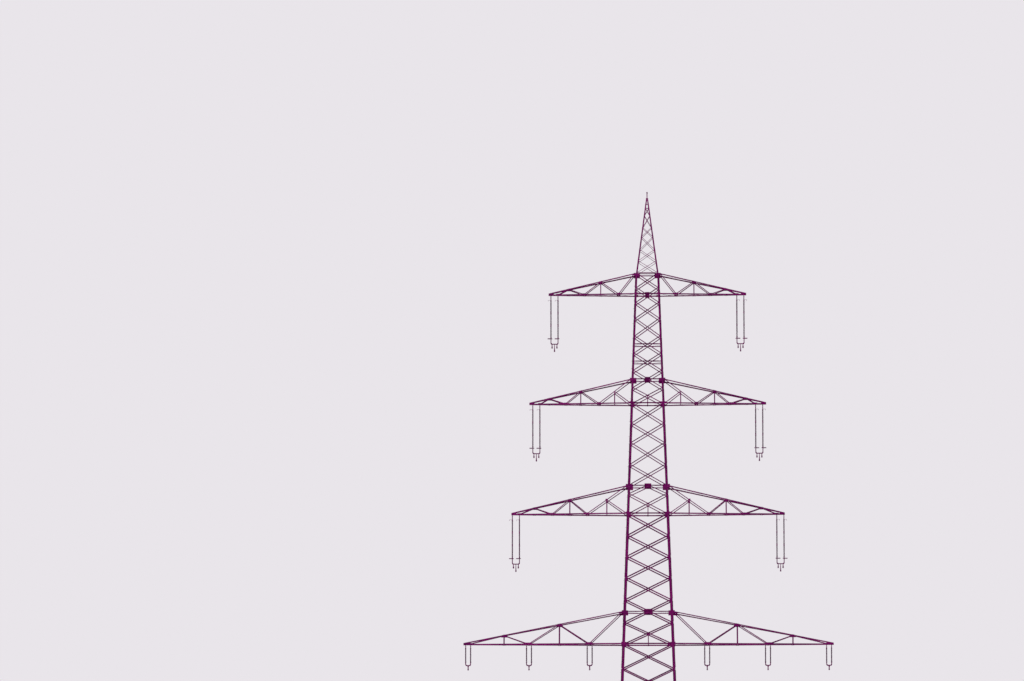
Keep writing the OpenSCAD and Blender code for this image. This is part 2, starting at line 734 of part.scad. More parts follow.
// Ears, pin and link that carry the first rod
module clevis(link) {
    inner = lug_t / 2 + ear_gap;
    foot = lug_w / 2 + bridge_gap + bridge_h;
    for (side = [-1, 1]) translate([side * (inner + ear_t / 2) - ear_t / 2, 0, 0]) rotate([90, 0, 90])
        linear_extrude(ear_t) {
            circle(r = ear_r);
            translate([-ear_r, -foot]) square([2 * ear_r, foot]);
        }
    translate([-inner - ear_t, -ear_r, -foot]) cube([2 * (inner + ear_t), 2 * ear_r, bridge_h]);
    rotate([0, 90, 0]) cylinder(r = pin_r, h = 2 * (inner + ear_t + pin_end), center = true);
    translate([0, 0, bridge_h / 2 - foot]) flat_link(link - foot + bridge_h / 2);
}

// Arcing ring round the foot of a string, drawn out to the left
module ring() {
    for (end = [-1, 1]) translate([end > 0 ? -ring_reach : 0, 0, 0]) rotate([0, 0, end * 90])
        rotate_extrude(angle = 180) translate([ring_half, 0]) circle(r = ring_tube_r);
    for (y = [-1, 1]) translate([-ring_reach / 2, y * ring_half, 0]) rotate([0, 90, 0])
        cylinder(r = ring_tube_r, h = ring_reach, center = true);
    rotate([90, 0, 0]) cylinder(r = horn_r, h = 2 * ring_half, center = true);
}

// Arcing horn at the head of a string: a rod that points to the left and turns down
module horn() {
    rotate([0, -90, 0]) cylinder(r = horn_r, h = horn_reach);
    translate([-horn_reach, 0, -horn_drop]) cylinder(r = horn_r, h = horn_drop);
    translate([-horn_reach, 0, 0]) sphere(r = horn_r);
}

// Outline of a clamp shaped like a boat, along the line
module boat() {
    half = clamp_length / 2;
    deep = clamp_h / 2;
    lip = clamp_h / 5;
    polygon([[-half, -lip], [-half / 2, -deep], [half / 2, -deep], [half, -lip],
        [half, lip], [half / 2, deep], [-half / 2, deep], [-half, lip]]);
}

module clamp_body() {
    rotate([90, 0, 90]) linear_extrude(clamp_w, center = true) boat();
}

module clamp_bore() {
    rotate([90, 0, 0]) cylinder(r = clamp_bore_r, h = 2 * clamp_length, center = true);
}

// Clamp that holds one conductor, with its hanger, which is top_w wide at its top
module conductor_clamp(drop, top_w) {
    difference() {
        union() {
            clamp_body();
            rotate([90, 0, 0]) linear_extrude(hanger_t, center = true)
                polygon([[-clamp_w / 2, 0], [clamp_w / 2, 0], [clamp_w / 2, hanger_foot],
                    [top_w / 2, drop], [-top_w / 2, drop], [-clamp_w / 2, hanger_foot]]);
        }
        clamp_bore();
    }
}

// One string: clevis, rods and the link to the yoke
module string(link, rods, length, tail) {
    clevis(link);
    for (k = [0 : rods - 1]) translate([0, 0, -link - k * length]) rod(length);
    translate([0, 0, -link - rods * length]) flat_link(tail);
}

// U-shaped plate that joins the feet of two strings and carries the clamps
module yoke_plate(pitch) {
    head = pitch / 2 + yoke_band / 2;
    foot = head - yoke_taper;
    rise = yoke_rise;
    drop = yoke_drop;
    rotate([90, 0, 0]) linear_extrude(yoke_t, center = true)
        polygon([[-head, rise], [-head, 0], [-foot, -drop], [foot, -drop], [head, 0], [head, rise],
            [head - yoke_band, rise], [foot - yoke_band, yoke_band - drop],
            [yoke_band - foot, yoke_band - drop], [yoke_band - head, rise]]);
}

module insulator_set(pitch, link, rods, length, tail, clamps, clamp_top_w) {
    foot = -link - rods * length;
    color(porcelain) {
        for (end = [-1, 1]) translate([end * pitch / 2, 0, 0]) {
            string(link, rods, length, tail);
            if (rods > 1) {
                translate([0, 0, foot - ring_drop]) ring();
                translate([0, 0, -link + horn_r]) horn();
            }
        }
        translate([0, 0, foot - tail]) {
            yoke_plate(pitch);
            for (c = clamps) translate([c[0], 0, -c[1]])
                conductor_clamp(c[1] - yoke_drop + yoke_band / 2, clamp_top_w);
        }
    }
}

module at_pivot(x, z) {
    translate([x, 0, z - pivot_drop]) children();
}

module long_set(i, side) {
    upper = [for (end = [-1, 1]) [end * clamp_pitch / 2, upper_clamp_drop]];
    mirror([side > 0 ? 1 : 0, 0, 0]) at_pivot(-tip_set_x[i], arm_bottom_z[i])
        insulator_set(long_pitch, top_link, rods_in_long, rod_length, bottom_link,
            concat(upper, [[0, lower_clamp_drop]]), hanger_w);
}

module short_set(k, side) {
    at_pivot(side * low_set_x[k], arm_bottom_z[3])
        insulator_set(short_pitch, short_top_link, 1, short_rod_length, short_bottom_link,
            [[0, short_clamp_drop]], short_hanger_w);
}

footings();
base_leg(LEFT);  // base_leg_front_left
base_leg(FRONT);  // base_leg_front_right
base_leg(REAR);  // base_leg_rear_left
base_leg(RIGHT);  // base_leg_rear_right
body_leg(LEFT);  // body_leg_front_left
body_leg(FRONT);  // body_leg_front_right
body_leg(REAR);  // body_leg_rear_left
body_leg(RIGHT);  // body_leg_rear_right
base_face(FRONT);  // base_face_front
base_face(RIGHT);  // base_face_right
base_face(REAR);  // base_face_rear
base_face(LEFT);  // base_face_left
body_face(FRONT, bend_z, splice_z);  // lower_face_front
body_face(RIGHT, bend_z, splice_z);  // lower_face_right
body_face(REAR, bend_z, splice_z);  // lower_face_rear
body_face(LEFT, bend_z, splice_z);  // lower_face_left
body_face(FRONT, splice_z, shoulder_z);  // upper_face_front
body_face(RIGHT, splice_z, shoulder_z);  // upper_face_right
body_face(REAR, splice_z, shoulder_z);  // upper_face_rear
body_face(LEFT, splice_z, shoulder_z);  // upper_face_left
plan_bracing();
peak();
peak_bracket();
crossarm(0, -1);  // crossarm_1_left
crossarm(0, 1);  // crossarm_1_right
crossarm(1, -1);  // crossarm_2_left
crossarm(1, 1);  // crossarm_2_right
crossarm(2, -1);  // crossarm_3_left
crossarm(2, 1);  // crossarm_3_right
crossarm(3, -1);  // crossarm_4_left
crossarm(3, 1);  // crossarm_4_right
long_set(0, -1);  // long_set_1_left
long_set(0, 1);  // long_set_1_right
long_set(1, -1);  // long_set_2_left
long_set(1, 1);  // long_set_2_right
long_set(2, -1);  // long_set_3_left
long_set(2, 1);  // long_set_3_right
short_set(0, -1);  // short_set_inner_left
short_set(0, 1);  // short_set_inner_right
short_set(1, -1);  // short_set_middle_left
short_set(1, 1);  // short_set_middle_right
short_set(2, -1);  // short_set_outer_left
short_set(2, 1);  // short_set_outer_right
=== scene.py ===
"""Looks of a lattice transmission pylon at half of full size.

Metres, +Z up, +X along the crossarms, +Y along the line that it carries. The CAD nodes keep
their shapes and get finishes here. Added are the bolts, splices, gussets, cleats, climbing
bolts, the level bracing in the base, mortar collars, earthing straps and the small parts of
the insulator sets, with a floor, light and a camera.
"""

import math
from collections import namedtuple

import bpy
import numpy as np
from mathutils import Matrix, Vector


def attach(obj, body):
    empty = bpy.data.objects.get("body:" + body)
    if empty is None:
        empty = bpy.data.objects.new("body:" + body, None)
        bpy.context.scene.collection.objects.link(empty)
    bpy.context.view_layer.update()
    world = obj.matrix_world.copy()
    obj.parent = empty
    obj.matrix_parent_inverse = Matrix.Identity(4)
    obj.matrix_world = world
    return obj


# Tower outline, as in the CAD
PEAK_TOP_Z = 31.75
BEND_Z = 6.78
FOOT_HALF = 2.05
BEND_HALF = 1.365
SHOULDER_HALF = 0.565
PEAK_HALF = 0.05
FOOTING_H = 0.2
FOOTING_R = 0.33
FOOTING_CHAMFER = 0.03

# Legs and bracing, as in the CAD
BASE_LEG_W = 0.114
BASE_LEG_T = 0.012
LEG_WIDTHS = (0.096, 0.083, 0.066)
LEG_THICKNESSES = (0.010, 0.009, 0.008)
PEAK_LEG_W = 0.06
BRACE_W = 0.044
BRACE_T = 0.005
BEND_GAP = 0.04
SPLICE_RISE = 0.22
GAUGE = LEG_WIDTHS[0] / 2
LOWER_NODES = [8.072, 9.277, 10.365, 11.488, 12.592, 13.653, 14.699]
UPPER_NODES = [18.251, 19.342, 20.326, 22.112, 22.985, 23.858, 24.717, 25.612, 26.422, 27.166]
SPLIT_NODE_Z = 16.785
TIE_Z = [7.399, 23.449, 24.323]
FOOT_NODE_Z = 0.42
BASE_NODE_Z = 3.9
SUB_BAYS = 3
PEAK_NODE_SHARES = (0.163, 0.313, 0.483, 0.61, 0.77, 0.87)
PEAK_TIE_SHARE = 0.923

# Plates, as in the CAD
CENTRE_PLATE_W = (0.225, 0.28, 0.335, 0.43, 0.33)
CENTRE_PLATE_H = (0.16, 0.15, 0.145, 0.205, 0.21)
TOP_PLATE_W = (0.31, 0.33, 0.365, 0.31)
TOP_PLATE_H = (0.14, 0.145, 0.17, 0.15)
LOW_PLATE_W = (0.20, 0.27, 0.28, 0.25)
LOW_PLATE_H = (0.105, 0.12, 0.12, 0.15)
SIDE_PLATE_H = 0.23
PLATE_GAP = 0.005
FOOT_PLATE_H = 0.33

# Crossarms, as in the CAD, the top one first
ARM_BOTTOM_Z = (26.832, 21.316, 15.777, 9.277)
ARM_TOP_Z = (27.916, 22.576, 17.222, 10.929)
ARM_REACH = (4.966, 5.938, 6.84, 9.236)
ARM_BOTTOM_X = (
    (1.444, 3.17, 4.494),
    (2.444, 4.116, 5.401),
    (3.039, 4.792, 6.439),
    (2.945, 5.975, 9.002),
)
ARM_TOP_X = ((2.345, 3.96), (3.358, 4.954), (3.915, 5.688), (4.443, 7.209))
CHORD_W = (0.06, 0.06, 0.062, 0.066)
TOP_CHORD_W = (0.056, 0.056, 0.058, 0.05)
JOINT_PLATE_W = (0.19, 0.19, 0.2, 0.32)
FIRST_BRACE_X = 0.06
FIRST_STRUT_X = 0.1
TIP_TOP_HALF = 0.075
TIP_HALF = 0.08
TIP_RISE = 0.11
LOWEST_ARM = 3
ARMS_WITH_SPLIT_BRACE = (1, 2)

# Insulator sets, as in the CAD. tail is the link between the rods and the yoke, and clamps
# holds the place across and the drop below the yoke of each clamp.
SetSizes = namedtuple("SetSizes", "pitch link rods rod_length tail clamps")
LONG_SET = SetSizes(
    pitch=0.355,
    link=0.172,
    rods=3,
    rod_length=0.635,
    tail=0.275,
    clamps=((-0.122, 0.216), (0.122, 0.216), (0, 0.39)),
)
SHORT_SET = SetSizes(
    pitch=0.246,
    link=0.075,
    rods=1,
    rod_length=0.76,
    tail=0.082,
    clamps=((0, 0.24),),
)
TIP_SET_X = (4.672, 5.587, 6.615)
LOW_SET_X = (2.931, 5.961, 9.002)
SHED_R = 0.045
CAP_R = 0.031
CAP_LENGTH = 0.055
CLAMP_W = 0.046
HANGER_T = 0.028
YOKE_DROP = 0.062
YOKE_BAND = 0.048
YOKE_T = 0.016
PIVOT_DROP = 0.06
LUG_T = 0.022
EAR_GAP = 0.001
EAR_T = 0.009
PIN_R = 0.008
BRACKET_STEM_H = 0.29

# Bolts: diameters, the least distance between two, and the parts of one from the foot up as
# (radius, height) in its diameters
SMALL_BOLT = 0.008
BOLT = 0.010
LARGE_BOLT = 0.012
BOLT_ROOM = 0.02
BOLT_WASHER = ((1.05, 0), (1.05, 0.16))
BOLT_HEAD = ((0.88, 0.16), (0.88, 0.66), (0.7744, 0.78))
BOLT_NUT = ((0.792, -0.75), (0.88, -0.65), (0.88, 0))
BOLT_END = ((0.42, -1.15), (0.5, -1.05), (0.5, -0.55))

# Bolts of the body: distances along a bar or a tie from the bolt in the leg, and shares of
# the sizes of the centre plates and of the plates on the legs
DIAGONAL_STEPS = (0.038,)
TIE_STEPS = (0, 0.036)
CENTRE_CORNER_SHARES = (0.2, 0.38)
CENTRE_TIE_SHARES = (0.25, 0.42)
PLATE_ROW_SHARES = (-0.34, 0.34)
PLATE_CHORD_SHARES = (0.25, 0.4)

# Bolts of the base: distances from the start of each bar
BASE_END_STEPS = (0.03, 0.07)
BASE_STITCH_STEPS = (0.11,)
BASE_CENTRE_STEPS = (0.05, 0.09, 0.13)
BASE_TIE_CENTRE_STEPS = (0.06, 0.11, 0.16)
BASE_TIE_END_STEPS = (0, 0.04)
SUB_ON_LEG_STEPS = (0, 0.034)
SUB_ON_BAR_STEPS = (0, 0.04)
SUB_AFTER_STEPS = (0.04,)
BASE_PLATE_ROWS = (-0.12, -0.07, 0.07, 0.12)

# Bolts of the crossarms and the peak
JOINT_ROW_SHARE = 0.3
BRACE_ROW_SHARE = 0.55
BRACE_ROW_RISE = 0.012
POST_STEP = 0.032
BRACE_STEP = 0.075
TIP_BOLT_X = (0.04, 0.12, 0.2)
TIP_BOLT_Y = (0.02, 0.075)
PEAK_ROWS = (-0.018, 0.018)
CAP_PLATE_T = 0.012
CAP_BOLT_X = 0.046

# Splices of the legs: heights, cover plates, and rows and lines of bolts
BASE_SPLICE_Z = 2.3
BODY_SPLICE_Z = 12.1
SPLICE_LENGTH = 0.34
SPLICE_T_SHARE = 0.8
SPLICE_FROM_HEEL = 0.004
SPLICE_FROM_EDGE = 0.008
SPLICE_ROWS = (-3, -2, -1, 1, 2, 3)
SPLICE_PITCH = SPLICE_LENGTH / 7.4
SPLICE_LINE_SHARES = (0.42, 0.76)

# Climbing bolts
STEP_FOOT_Z = 1.6
STEP_PITCH = 0.19
STEP_CLEARANCE = 0.09
STEP_REACH = 0.08
STEP_R = 0.005
STEP_TAIL = 0.012
STEP_HEAD = (STEP_R * 1.9, 0.004)
STEP_NUT = (STEP_R * 1.8, 0.006)
STEP_FROM_HEEL = 0.02
CLIMBED_LEG = 3

# Level bracing inside the base: width and thickness of its angles
PLAN_INSET = 0.045
PLAN_BAR = (0.045, 0.005)
PLAN_STRUT = (0.035, 0.004)

# Mortar collars on the footings, and earthing straps that run down over them
COLLAR_TOP_Z = 0.23
COLLAR = ((0.16, -0.004), (0.155, 0.012), (0.11, COLLAR_TOP_Z - FOOTING_H))
STRAP_T = 0.003
STRAP_W = 0.03
STRAP_CLEARANCE = 0.0006
STRAP_FROM_CORNER = 0.09
STRAP_HEAD_Z = 0.335
STRAP_BOLT_Z = (0.315, 0.285)
STRAP_FOOT_Z = 0.002
STRAP_OFF_LEG_Z = COLLAR_TOP_Z + 0.006
# Bends from the collar to the footing's top, as the distance out from the seat and the height
STRAP_OVER_COLLAR = (
    (0.062, COLLAR_TOP_Z + STRAP_CLEARANCE),
    (0.080, COLLAR_TOP_Z + STRAP_CLEARANCE),
    (0.112, FOOTING_H + 0.0125),
    (0.122, FOOTING_H + STRAP_CLEARANCE),
)

# Gussets on the bottom and top panels of the crossarms
GUSSET = (0.16, 0.1, 0.004)
GUSSET_EDGE = 0.022
GUSSET_BOLTS = (
    (-0.06, 0),
    (-0.02, 0),
    (0.02, 0),
    (0.06, 0),
    (-0.05, 0.055),
    (0, 0.045),
    (0.05, 0.055),
)

# Base plates of the hanger lugs
HANGER_PLATE = (0.066, 0.128, 0.006)
HANGER_BOLT_X = (-0.02, 0.02)
HANGER_BOLT_Y = (-0.05, 0.05)

# Cleats of the level bracing in the body
CLEAT_T = 0.004
CLEAT_LENGTH = 0.11
CLEAT_DEPTH = 0.05
CLEAT_HEIGHT = 0.02
CLEAT_GAP = 0.001
CLEAT_BOLT_X = (-0.034, 0.034)
CLEAT_BOLT_Y = 0.03

# U-bolts of the clamps: the places of the bolts, their nuts and bows from the clamp's bore,
# and the ends of a leg of the bolt from its nut
U_BOLT_R = 0.004
U_BOLT_NUT = ((0.008, 0), (0.008, 0.007))
U_BOLT_Y = (-0.05, 0.05)
U_BOLT_NUT_Z = 0.024
U_BOLT_BOW_Z = -0.03
U_BOLT_LEG_FOOT = -0.058
U_BOLT_LEG_TOP = 0.014

# Small parts of the strings, as (radius, height) from the foot up
CAP_COLLAR = ((CAP_R * 0.8, 0), (CAP_R * 1.16, 0.004), (CAP_R * 1.16, 0.011), (CAP_R * 0.8, 0.015))
CAP_COLLAR_INSET = 0.004
BALL = ((0.012, 0), (0.019, 0.006), (0.019, 0.018), (0.012, 0.024))
PIN_WASHER = ((PIN_R * 1.9, 0), (PIN_R * 1.9, 0.003))
SPLIT_PIN = (0.026, 0.0028, 0.0028)
SPLIT_PIN_RISE = 0.0055
# Bolts of the clamps' hangers, above the foot of the yoke
HANGER_BOLT_RISE = YOKE_BAND * 0.27
# Farthest from a string's axis that a face of its sheds lies
GLAZED_R = SHED_R * 1.03

# Stage
FLOOR_R = 1200
FLOOR_Z = -0.002
FLOOR_COLOUR = "dcd8de"
BACKGROUND_COLOUR = "e9e5ea"
AMBIENT_STRENGTH = 0.62
KEY_STRENGTH = 1.9
KEY_SPREAD = math.radians(14)
KEY_TURN = (math.radians(48), 0, math.radians(-34))

# View of the photograph: distance in front of the tower, eye height and aim
CAMERA_DISTANCE = 230
CAMERA_HEIGHT = 0.8
CAMERA_PITCH = math.radians(5.9)
CAMERA_YAW = math.radians(1.696)
CAMERA_LENS = 161.7
CAMERA_SENSOR = 36
CAMERA_RANGE = (1, 3000)

FACES = ("front", "right", "rear", "left")
# Corner to the right of each face
CORNERS = ("front_right", "rear_right", "rear_left", "front_left")
SIDES = (-1, 1)
SIDE_NAMES = {-1: "left", 1: "right"}


def mix(a, b, t):
    """Value at a share t of the way from a to b."""
    return a + (b - a) * t


# Places


def quarter(turn):
    """Quarter turns about the tower's axis."""
    return Matrix.Rotation(math.radians(90 * turn), 4, "Z")


def along_axes(point, x, y, z):
    """Place at a point with its three axes along the given unit vectors."""
    return Matrix([*zip(x, y, z, point), (0, 0, 0, 1)])


def turned(point, direction, side):
    """Place with x along a direction and z along a side, both unit vectors."""
    return along_axes(point, direction, Vector(side).cross(Vector(direction)), side)


FLIPPED = Matrix.Rotation(math.pi, 4, "X")
Z_TO_X = Matrix.Rotation(math.pi / 2, 4, "Y")
Z_TO_FRONT = Matrix.Rotation(math.pi / 2, 4, "X")
# Directions of a bolt in each flange of a leg: along the flange, and out of it
ON_X_FLANGE = ((1, 0, 0), (0, -1, 0))
ON_Y_FLANGE = ((0, 1, 0), (-1, 0, 0))


class Taper:
    """Straight stretch of the tower, with bolts in a line at gauge from the edge of its legs."""

    def __init__(self, foot_z, top_z, foot_half, top_half, gauge):
        self.foot_z = foot_z
        self.foot_half = foot_half
        self.slope = (foot_half - top_half) / (top_z - foot_z)
        self.tilt = math.atan(self.slope)
        self.gauge = gauge

    def half(self, z):
        """Half of the tower's width at height z."""
        return self.foot_half - self.slope * (z - self.foot_z)

    def reach(self, z):
        """Distance from the middle of a face to the bolts in its leg."""
        return self.half(z) - self.gauge

    def point(self, z, share):
        """Point of a face at height z, at a share of the way from its middle to the leg's bolts."""
        return Vector((share * self.reach(z), (z - self.foot_z) / math.cos(self.tilt), 0))

    def crossing(self, low, high):
        """Height at which the diagonals of the panel between two heights cross."""
        return low + (high - low) * self.reach(low) / (self.reach(low) + self.reach(high))

    def face(self, turn):
        """Place on a face: x across, y up its slope and z out."""
        lean = Matrix.Rotation(math.pi / 2 - self.tilt, 4, "X")
        return quarter(turn) @ Matrix.Translation((0, -self.foot_half, self.foot_z)) @ lean

    def corner(self, turn, z):
        """Place on the leg right of a face, at height z: x and y along its flanges, z up it."""
        sine = math.sin(self.tilt)
        fall = -sine * math.cos(self.tilt)
        across = Vector((-1, -sine ** 2, fall)).normalized()
        back = Vector((sine ** 2, 1, fall)).normalized()
        upward = Vector((-self.slope, self.slope, 1)).normalized()
        return quarter(turn) @ along_axes((self.half(z), -self.half(z), z), across, back, upward)


SHOULDER_Z = ARM_TOP_Z[0]
BASE = Taper(0, BEND_Z, FOOT_HALF, BEND_HALF, GAUGE)
BODY = Taper(BEND_Z, SHOULDER_Z, BEND_HALF, SHOULDER_HALF, GAUGE)
PEAK = Taper(SHOULDER_Z, PEAK_TOP_Z, SHOULDER_HALF, PEAK_HALF, PEAK_LEG_W / 2)
LEG_TOPS = (ARM_BOTTOM_Z[2] + SPLICE_RISE, ARM_BOTTOM_Z[1] + SPLICE_RISE, SHOULDER_Z)
FOOTING_SEAT = BASE.half(FOOTING_H) - BASE_LEG_W / 3

# Heights of the ties, the centre plates and the panels' ends
TOP_TIE_Z = SHOULDER_Z - BRACE_W / 2 - PLATE_GAP
HEAVY_TIE_Z = [z + w / 2 for z, w in zip(ARM_BOTTOM_Z, CHORD_W)]
LIGHT_TIE_Z = [z - BRACE_W / 2 for z in ARM_TOP_Z[1:]] + TIE_Z
CENTRE_PLATE_Z = [HEAVY_TIE_Z[0], *ARM_TOP_Z[1:], TIE_Z[0]]
LOW_ENDS = [BEND_Z + BEND_GAP, *LOWER_NODES, ARM_BOTTOM_Z[2], SPLIT_NODE_Z]
HIGH_ENDS = [ARM_TOP_Z[2], *sorted([ARM_BOTTOM_Z[1], *UPPER_NODES]), TOP_TIE_Z]
BODY_PANELS = [*zip(LOW_ENDS, LOW_ENDS[1:]), *zip(HIGH_ENDS, HIGH_ENDS[1:])]
BASE_PANELS = ((FOOT_NODE_Z, BASE_NODE_Z), (BASE_NODE_Z, BEND_Z - BEND_GAP))

# Each insulator set by name: its x, the height of its pins and its sizes
SETS = {}
for number, set_x in enumerate(TIP_SET_X):
    for flank in SIDES:
        name = f"long_set_{number + 1}_{SIDE_NAMES[flank]}"
        SETS[name] = (flank * set_x, ARM_BOTTOM_Z[number] - PIVOT_DROP, LONG_SET)
for word, set_x in zip(("inner", "middle", "outer"), LOW_SET_X):
    for flank in SIDES:
        name = f"short_set_{word}_{SIDE_NAMES[flank]}"
        SETS[name] = (flank * set_x, ARM_BOTTOM_Z[LOWEST_ARM] - PIVOT_DROP, SHORT_SET)


# Materials


def linear(code):
    """An sRGB colour such as "61004f" as the linear colour that a shader takes."""
    channels = [int(code[i:i + 2], 16) / 255 for i in (0, 2, 4)]
    return [c / 12.92 if c < 0.04045 else ((c + 0.055) / 1.055) ** 2.4 for c in channels] + [1]


def connect(tree, value, socket):
    """Links another node's output to a socket, or sets the socket to a plain value."""
    if isinstance(value, bpy.types.NodeSocket):
        tree.links.new(value, socket)
    else:
        socket.default_value = value


def add_node(tree, kind, inputs=None, **settings):
    """A new shader node, with a value or another node's output for each input by name or number."""
    made = tree.nodes.new(kind)
    for key, value in settings.items():
        setattr(made, key, value)
    for key, value in (inputs or {}).items():
        connect(tree, value, made.inputs[key])
    return made


class Finish:
    """Procedural material over the object's own coordinates."""

    def __init__(self, title):
        self.material = bpy.data.materials.new(title)
        self.material.use_nodes = True
        self.tree = self.material.node_tree
        self.shader = self.tree.nodes["Principled BSDF"]
        self.place = self.output("ShaderNodeTexCoord", "Object")

    def output(self, kind, socket, inputs=None, **settings):
        """One output of a new node."""
        return add_node(self.tree, kind, inputs, **settings).outputs[socket]

    def noise(self, scale, detail, stretch=(1, 1, 1)):
        """Noise in 0 to 1, with scale in waves a metre."""
        mapped = self.output("ShaderNodeMapping", 0, {"Vector": self.place, "Scale": stretch})
        inputs = {"Vector": mapped, "Scale": scale, "Detail": detail}
        return self.output("ShaderNodeTexNoise", 0, inputs)

    def ramp(self, value, low, high, start=0, end=1):
        """start up to low, end from high on and straight between them."""
        inputs = {"Value": value, "From Min": low, "From Max": high, "To Min": start, "To Max": end}
        return self.output("ShaderNodeMapRange", 0, inputs)

    def combine(self, operation, first, second):
        """Sum, difference or product of two values."""
        return self.output("ShaderNodeMath", 0, {0: first, 1: second}, operation=operation)

    def blend(self, share, first, second):
        """Colour at a share of the way from the first to the second."""
        made = add_node(self.tree, "ShaderNodeMix", data_type="RGBA")
        values = (("Factor", "VALUE", share), ("A", "RGBA", first), ("B", "RGBA", second))
        for title, kind, value in values:
            socket = next(s for s in made.inputs if s.name == title and s.type == kind)
            connect(self.tree, value, socket)
        return next(s for s in made.outputs if s.type == "RGBA")

    def height(self, vector):
        """The z of a vector."""
        return self.output("ShaderNodeSeparateXYZ", 2, {0: vector})

    def set(self, title, value):
        """Gives one input of the shader its value."""
        connect(self.tree, value, self.shader.inputs[title])

    def bump(self, relief, distance, strength=0.5):
        """Relief from a height in 0 to 1."""
        inputs = {"Height": relief, "Distance": distance, "Strength": strength}
        self.set("Normal", self.output("ShaderNodeBump", 0, inputs))


def weathered_steel(title, tone, dark, chalk, streaks, gloss=0.0):
    """Old paint on zinc: broad fading, rain streaks, chalky patches, small chips and fine grain."""
    steel = Finish(title)
    fading = steel.ramp(steel.noise(scale=0.9, detail=4), 0.35, 0.68)
    colour = steel.blend(fading, linear(tone), linear(dark))
    runs = steel.ramp(steel.noise(scale=1.0, detail=5, stretch=(34, 34, 1.1)), 0.48, 0.78)
    colour = steel.blend(steel.combine("MULTIPLY", runs, streaks), colour, linear(dark))
    patches = steel.ramp(steel.noise(scale=6.5, detail=6), 0.58, 0.74)
    colour = steel.blend(steel.combine("MULTIPLY", patches, 0.55), colour, linear(chalk))
    chips = steel.ramp(steel.noise(scale=60, detail=4), 0.68, 0.71)
    colour = steel.blend(chips, colour, linear(dark))
    steel.set("Base Color", colour)
    steel.set("Roughness", steel.ramp(patches, 0, 1, start=0.52 - gloss, end=0.78 - gloss))
    steel.set("Metallic", 0.3)
    steel.set("Specular IOR Level", 0.1)
    grain = steel.noise(scale=190, detail=3)
    steel.bump(steel.combine("SUBTRACT", grain, chips), distance=0.0006)
    return steel.material


def glazed_porcelain(title):
    """Dark glaze with slight pooling, and dust that lies on the tops of the sheds."""
    glaze = Finish(title)
    pooled = glaze.ramp(glaze.noise(scale=14, detail=3), 0.35, 0.7)
    colour = glaze.blend(pooled, linear("4c0640"), linear("360430"))
    facing_up = glaze.height(glaze.output("ShaderNodeNewGeometry", "Normal"))
    lying = glaze.ramp(facing_up, 0.35, 0.95)
    spread = glaze.ramp(glaze.noise(scale=22, detail=4), 0.3, 0.75)
    dust = glaze.combine("MULTIPLY", lying, spread)
    glaze.set("Base Color", glaze.blend(dust, colour, linear("652e5a")))
    glaze.set("Roughness", glaze.ramp(dust, 0, 1, start=0.2, end=0.6))
    glaze.set("Specular Tint", linear("c47ab4"))
    glaze.set("Coat Weight", 0.15)
    glaze.set("Coat Roughness", 0.12)
    glaze.bump(glaze.noise(scale=45, detail=2), distance=0.0004, strength=0.3)
    return glaze.material


def cast_concrete(title):
    """Concrete cast in a ring of boards, with pores and damp stains low down."""
    concrete = Finish(title)
    cloud = concrete.ramp(concrete.noise(scale=3.5, detail=6), 0.35, 0.7)
    colour = concrete.blend(cloud, linear("85567d"), linear("6d3d65"))
    ragged = concrete.noise(scale=9, detail=4)
    edge = concrete.combine("ADD", concrete.height(concrete.place), ragged)
    damp = concrete.ramp(edge, 0.62, 0.48)
    concrete.set("Base Color", concrete.blend(damp, colour, linear("542449")))
    concrete.set("Roughness", 0.88)
    pores = concrete.ramp(concrete.noise(scale=75, detail=4), 0.3, 0.42)
    wave = {"Vector": concrete.place, "Scale": 5.0, "Distortion": 0.6}
    boards = concrete.output("ShaderNodeTexWave", 1, wave, bands_direction="Z")
    relief = concrete.combine("MULTIPLY", boards, 0.35)
    concrete.bump(concrete.combine("ADD", pores, relief), distance=0.002)
    return concrete.material


def make_finishes():
    """Every finish of the object, by what it is for."""
    return {
        "legs": weathered_steel("leg_steel", "6e0357", "520043", "86296b", streaks=0.75),
        "bars": weathered_steel("bar_steel", "700458", "540046", "8b2e70", streaks=0.6),
        "bolts": weathered_steel("bolt_steel", "760e5e", "4c033d", "924076", streaks=0.3, gloss=0.1),
        "forged": weathered_steel(
            "forged_steel", "690453", "49003d", "82306a", streaks=0.35, gloss=0.15),
        "porcelain": glazed_porcelain("glazed_porcelain"),
        "concrete": cast_concrete("cast_concrete"),
    }


# Small solids, each as its points and its faces


def lathe(profile, sides):
    """Closed solid with a ring of sides at each (radius, height) of the profile, foot first."""
    turn = np.arange(sides) * 2 * math.pi / sides
    ring = np.stack([np.cos(turn), np.sin(turn)], 1)
    points = np.concatenate([np.column_stack([ring * r, np.full(sides, h)]) for r, h in profile])
    faces = [tuple(range(sides))[::-1]]
    for level in range(len(profile) - 1):
        low = level * sides
        for k in range(sides):
            after = (k + 1) % sides
            faces.append((low + k, low + after, low + sides + after, low + sides + k))
    faces.append(tuple(range(len(points) - sides, len(points))))
    return points, faces


def rod(radius, foot, top, sides):
    """Straight round or cornered bar along z."""
    return lathe([(radius, foot), (radius, top)], sides)


def slab(outline, thickness):
    """Outline in the xy plane, pushed up by thickness."""
    flat = np.array(outline, float)
    count = len(flat)
    points = np.concatenate([np.column_stack([flat, np.full(count, h)]) for h in (0, thickness)])
    sides = [(k, (k + 1) % count, (k + 1) % count + count, k + count) for k in range(count)]
    return points, [tuple(range(count))[::-1], tuple(range(count, 2 * count)), *sides]


def block(size, corner):
    """Box of a size, from its lowest corner."""
    x, y, z = corner
    outline = [(x, y), (x + size[0], y), (x + size[0], y + size[1]), (x, y + size[1])]
    points, faces = slab(outline, size[2])
    return points + [0, 0, z], faces


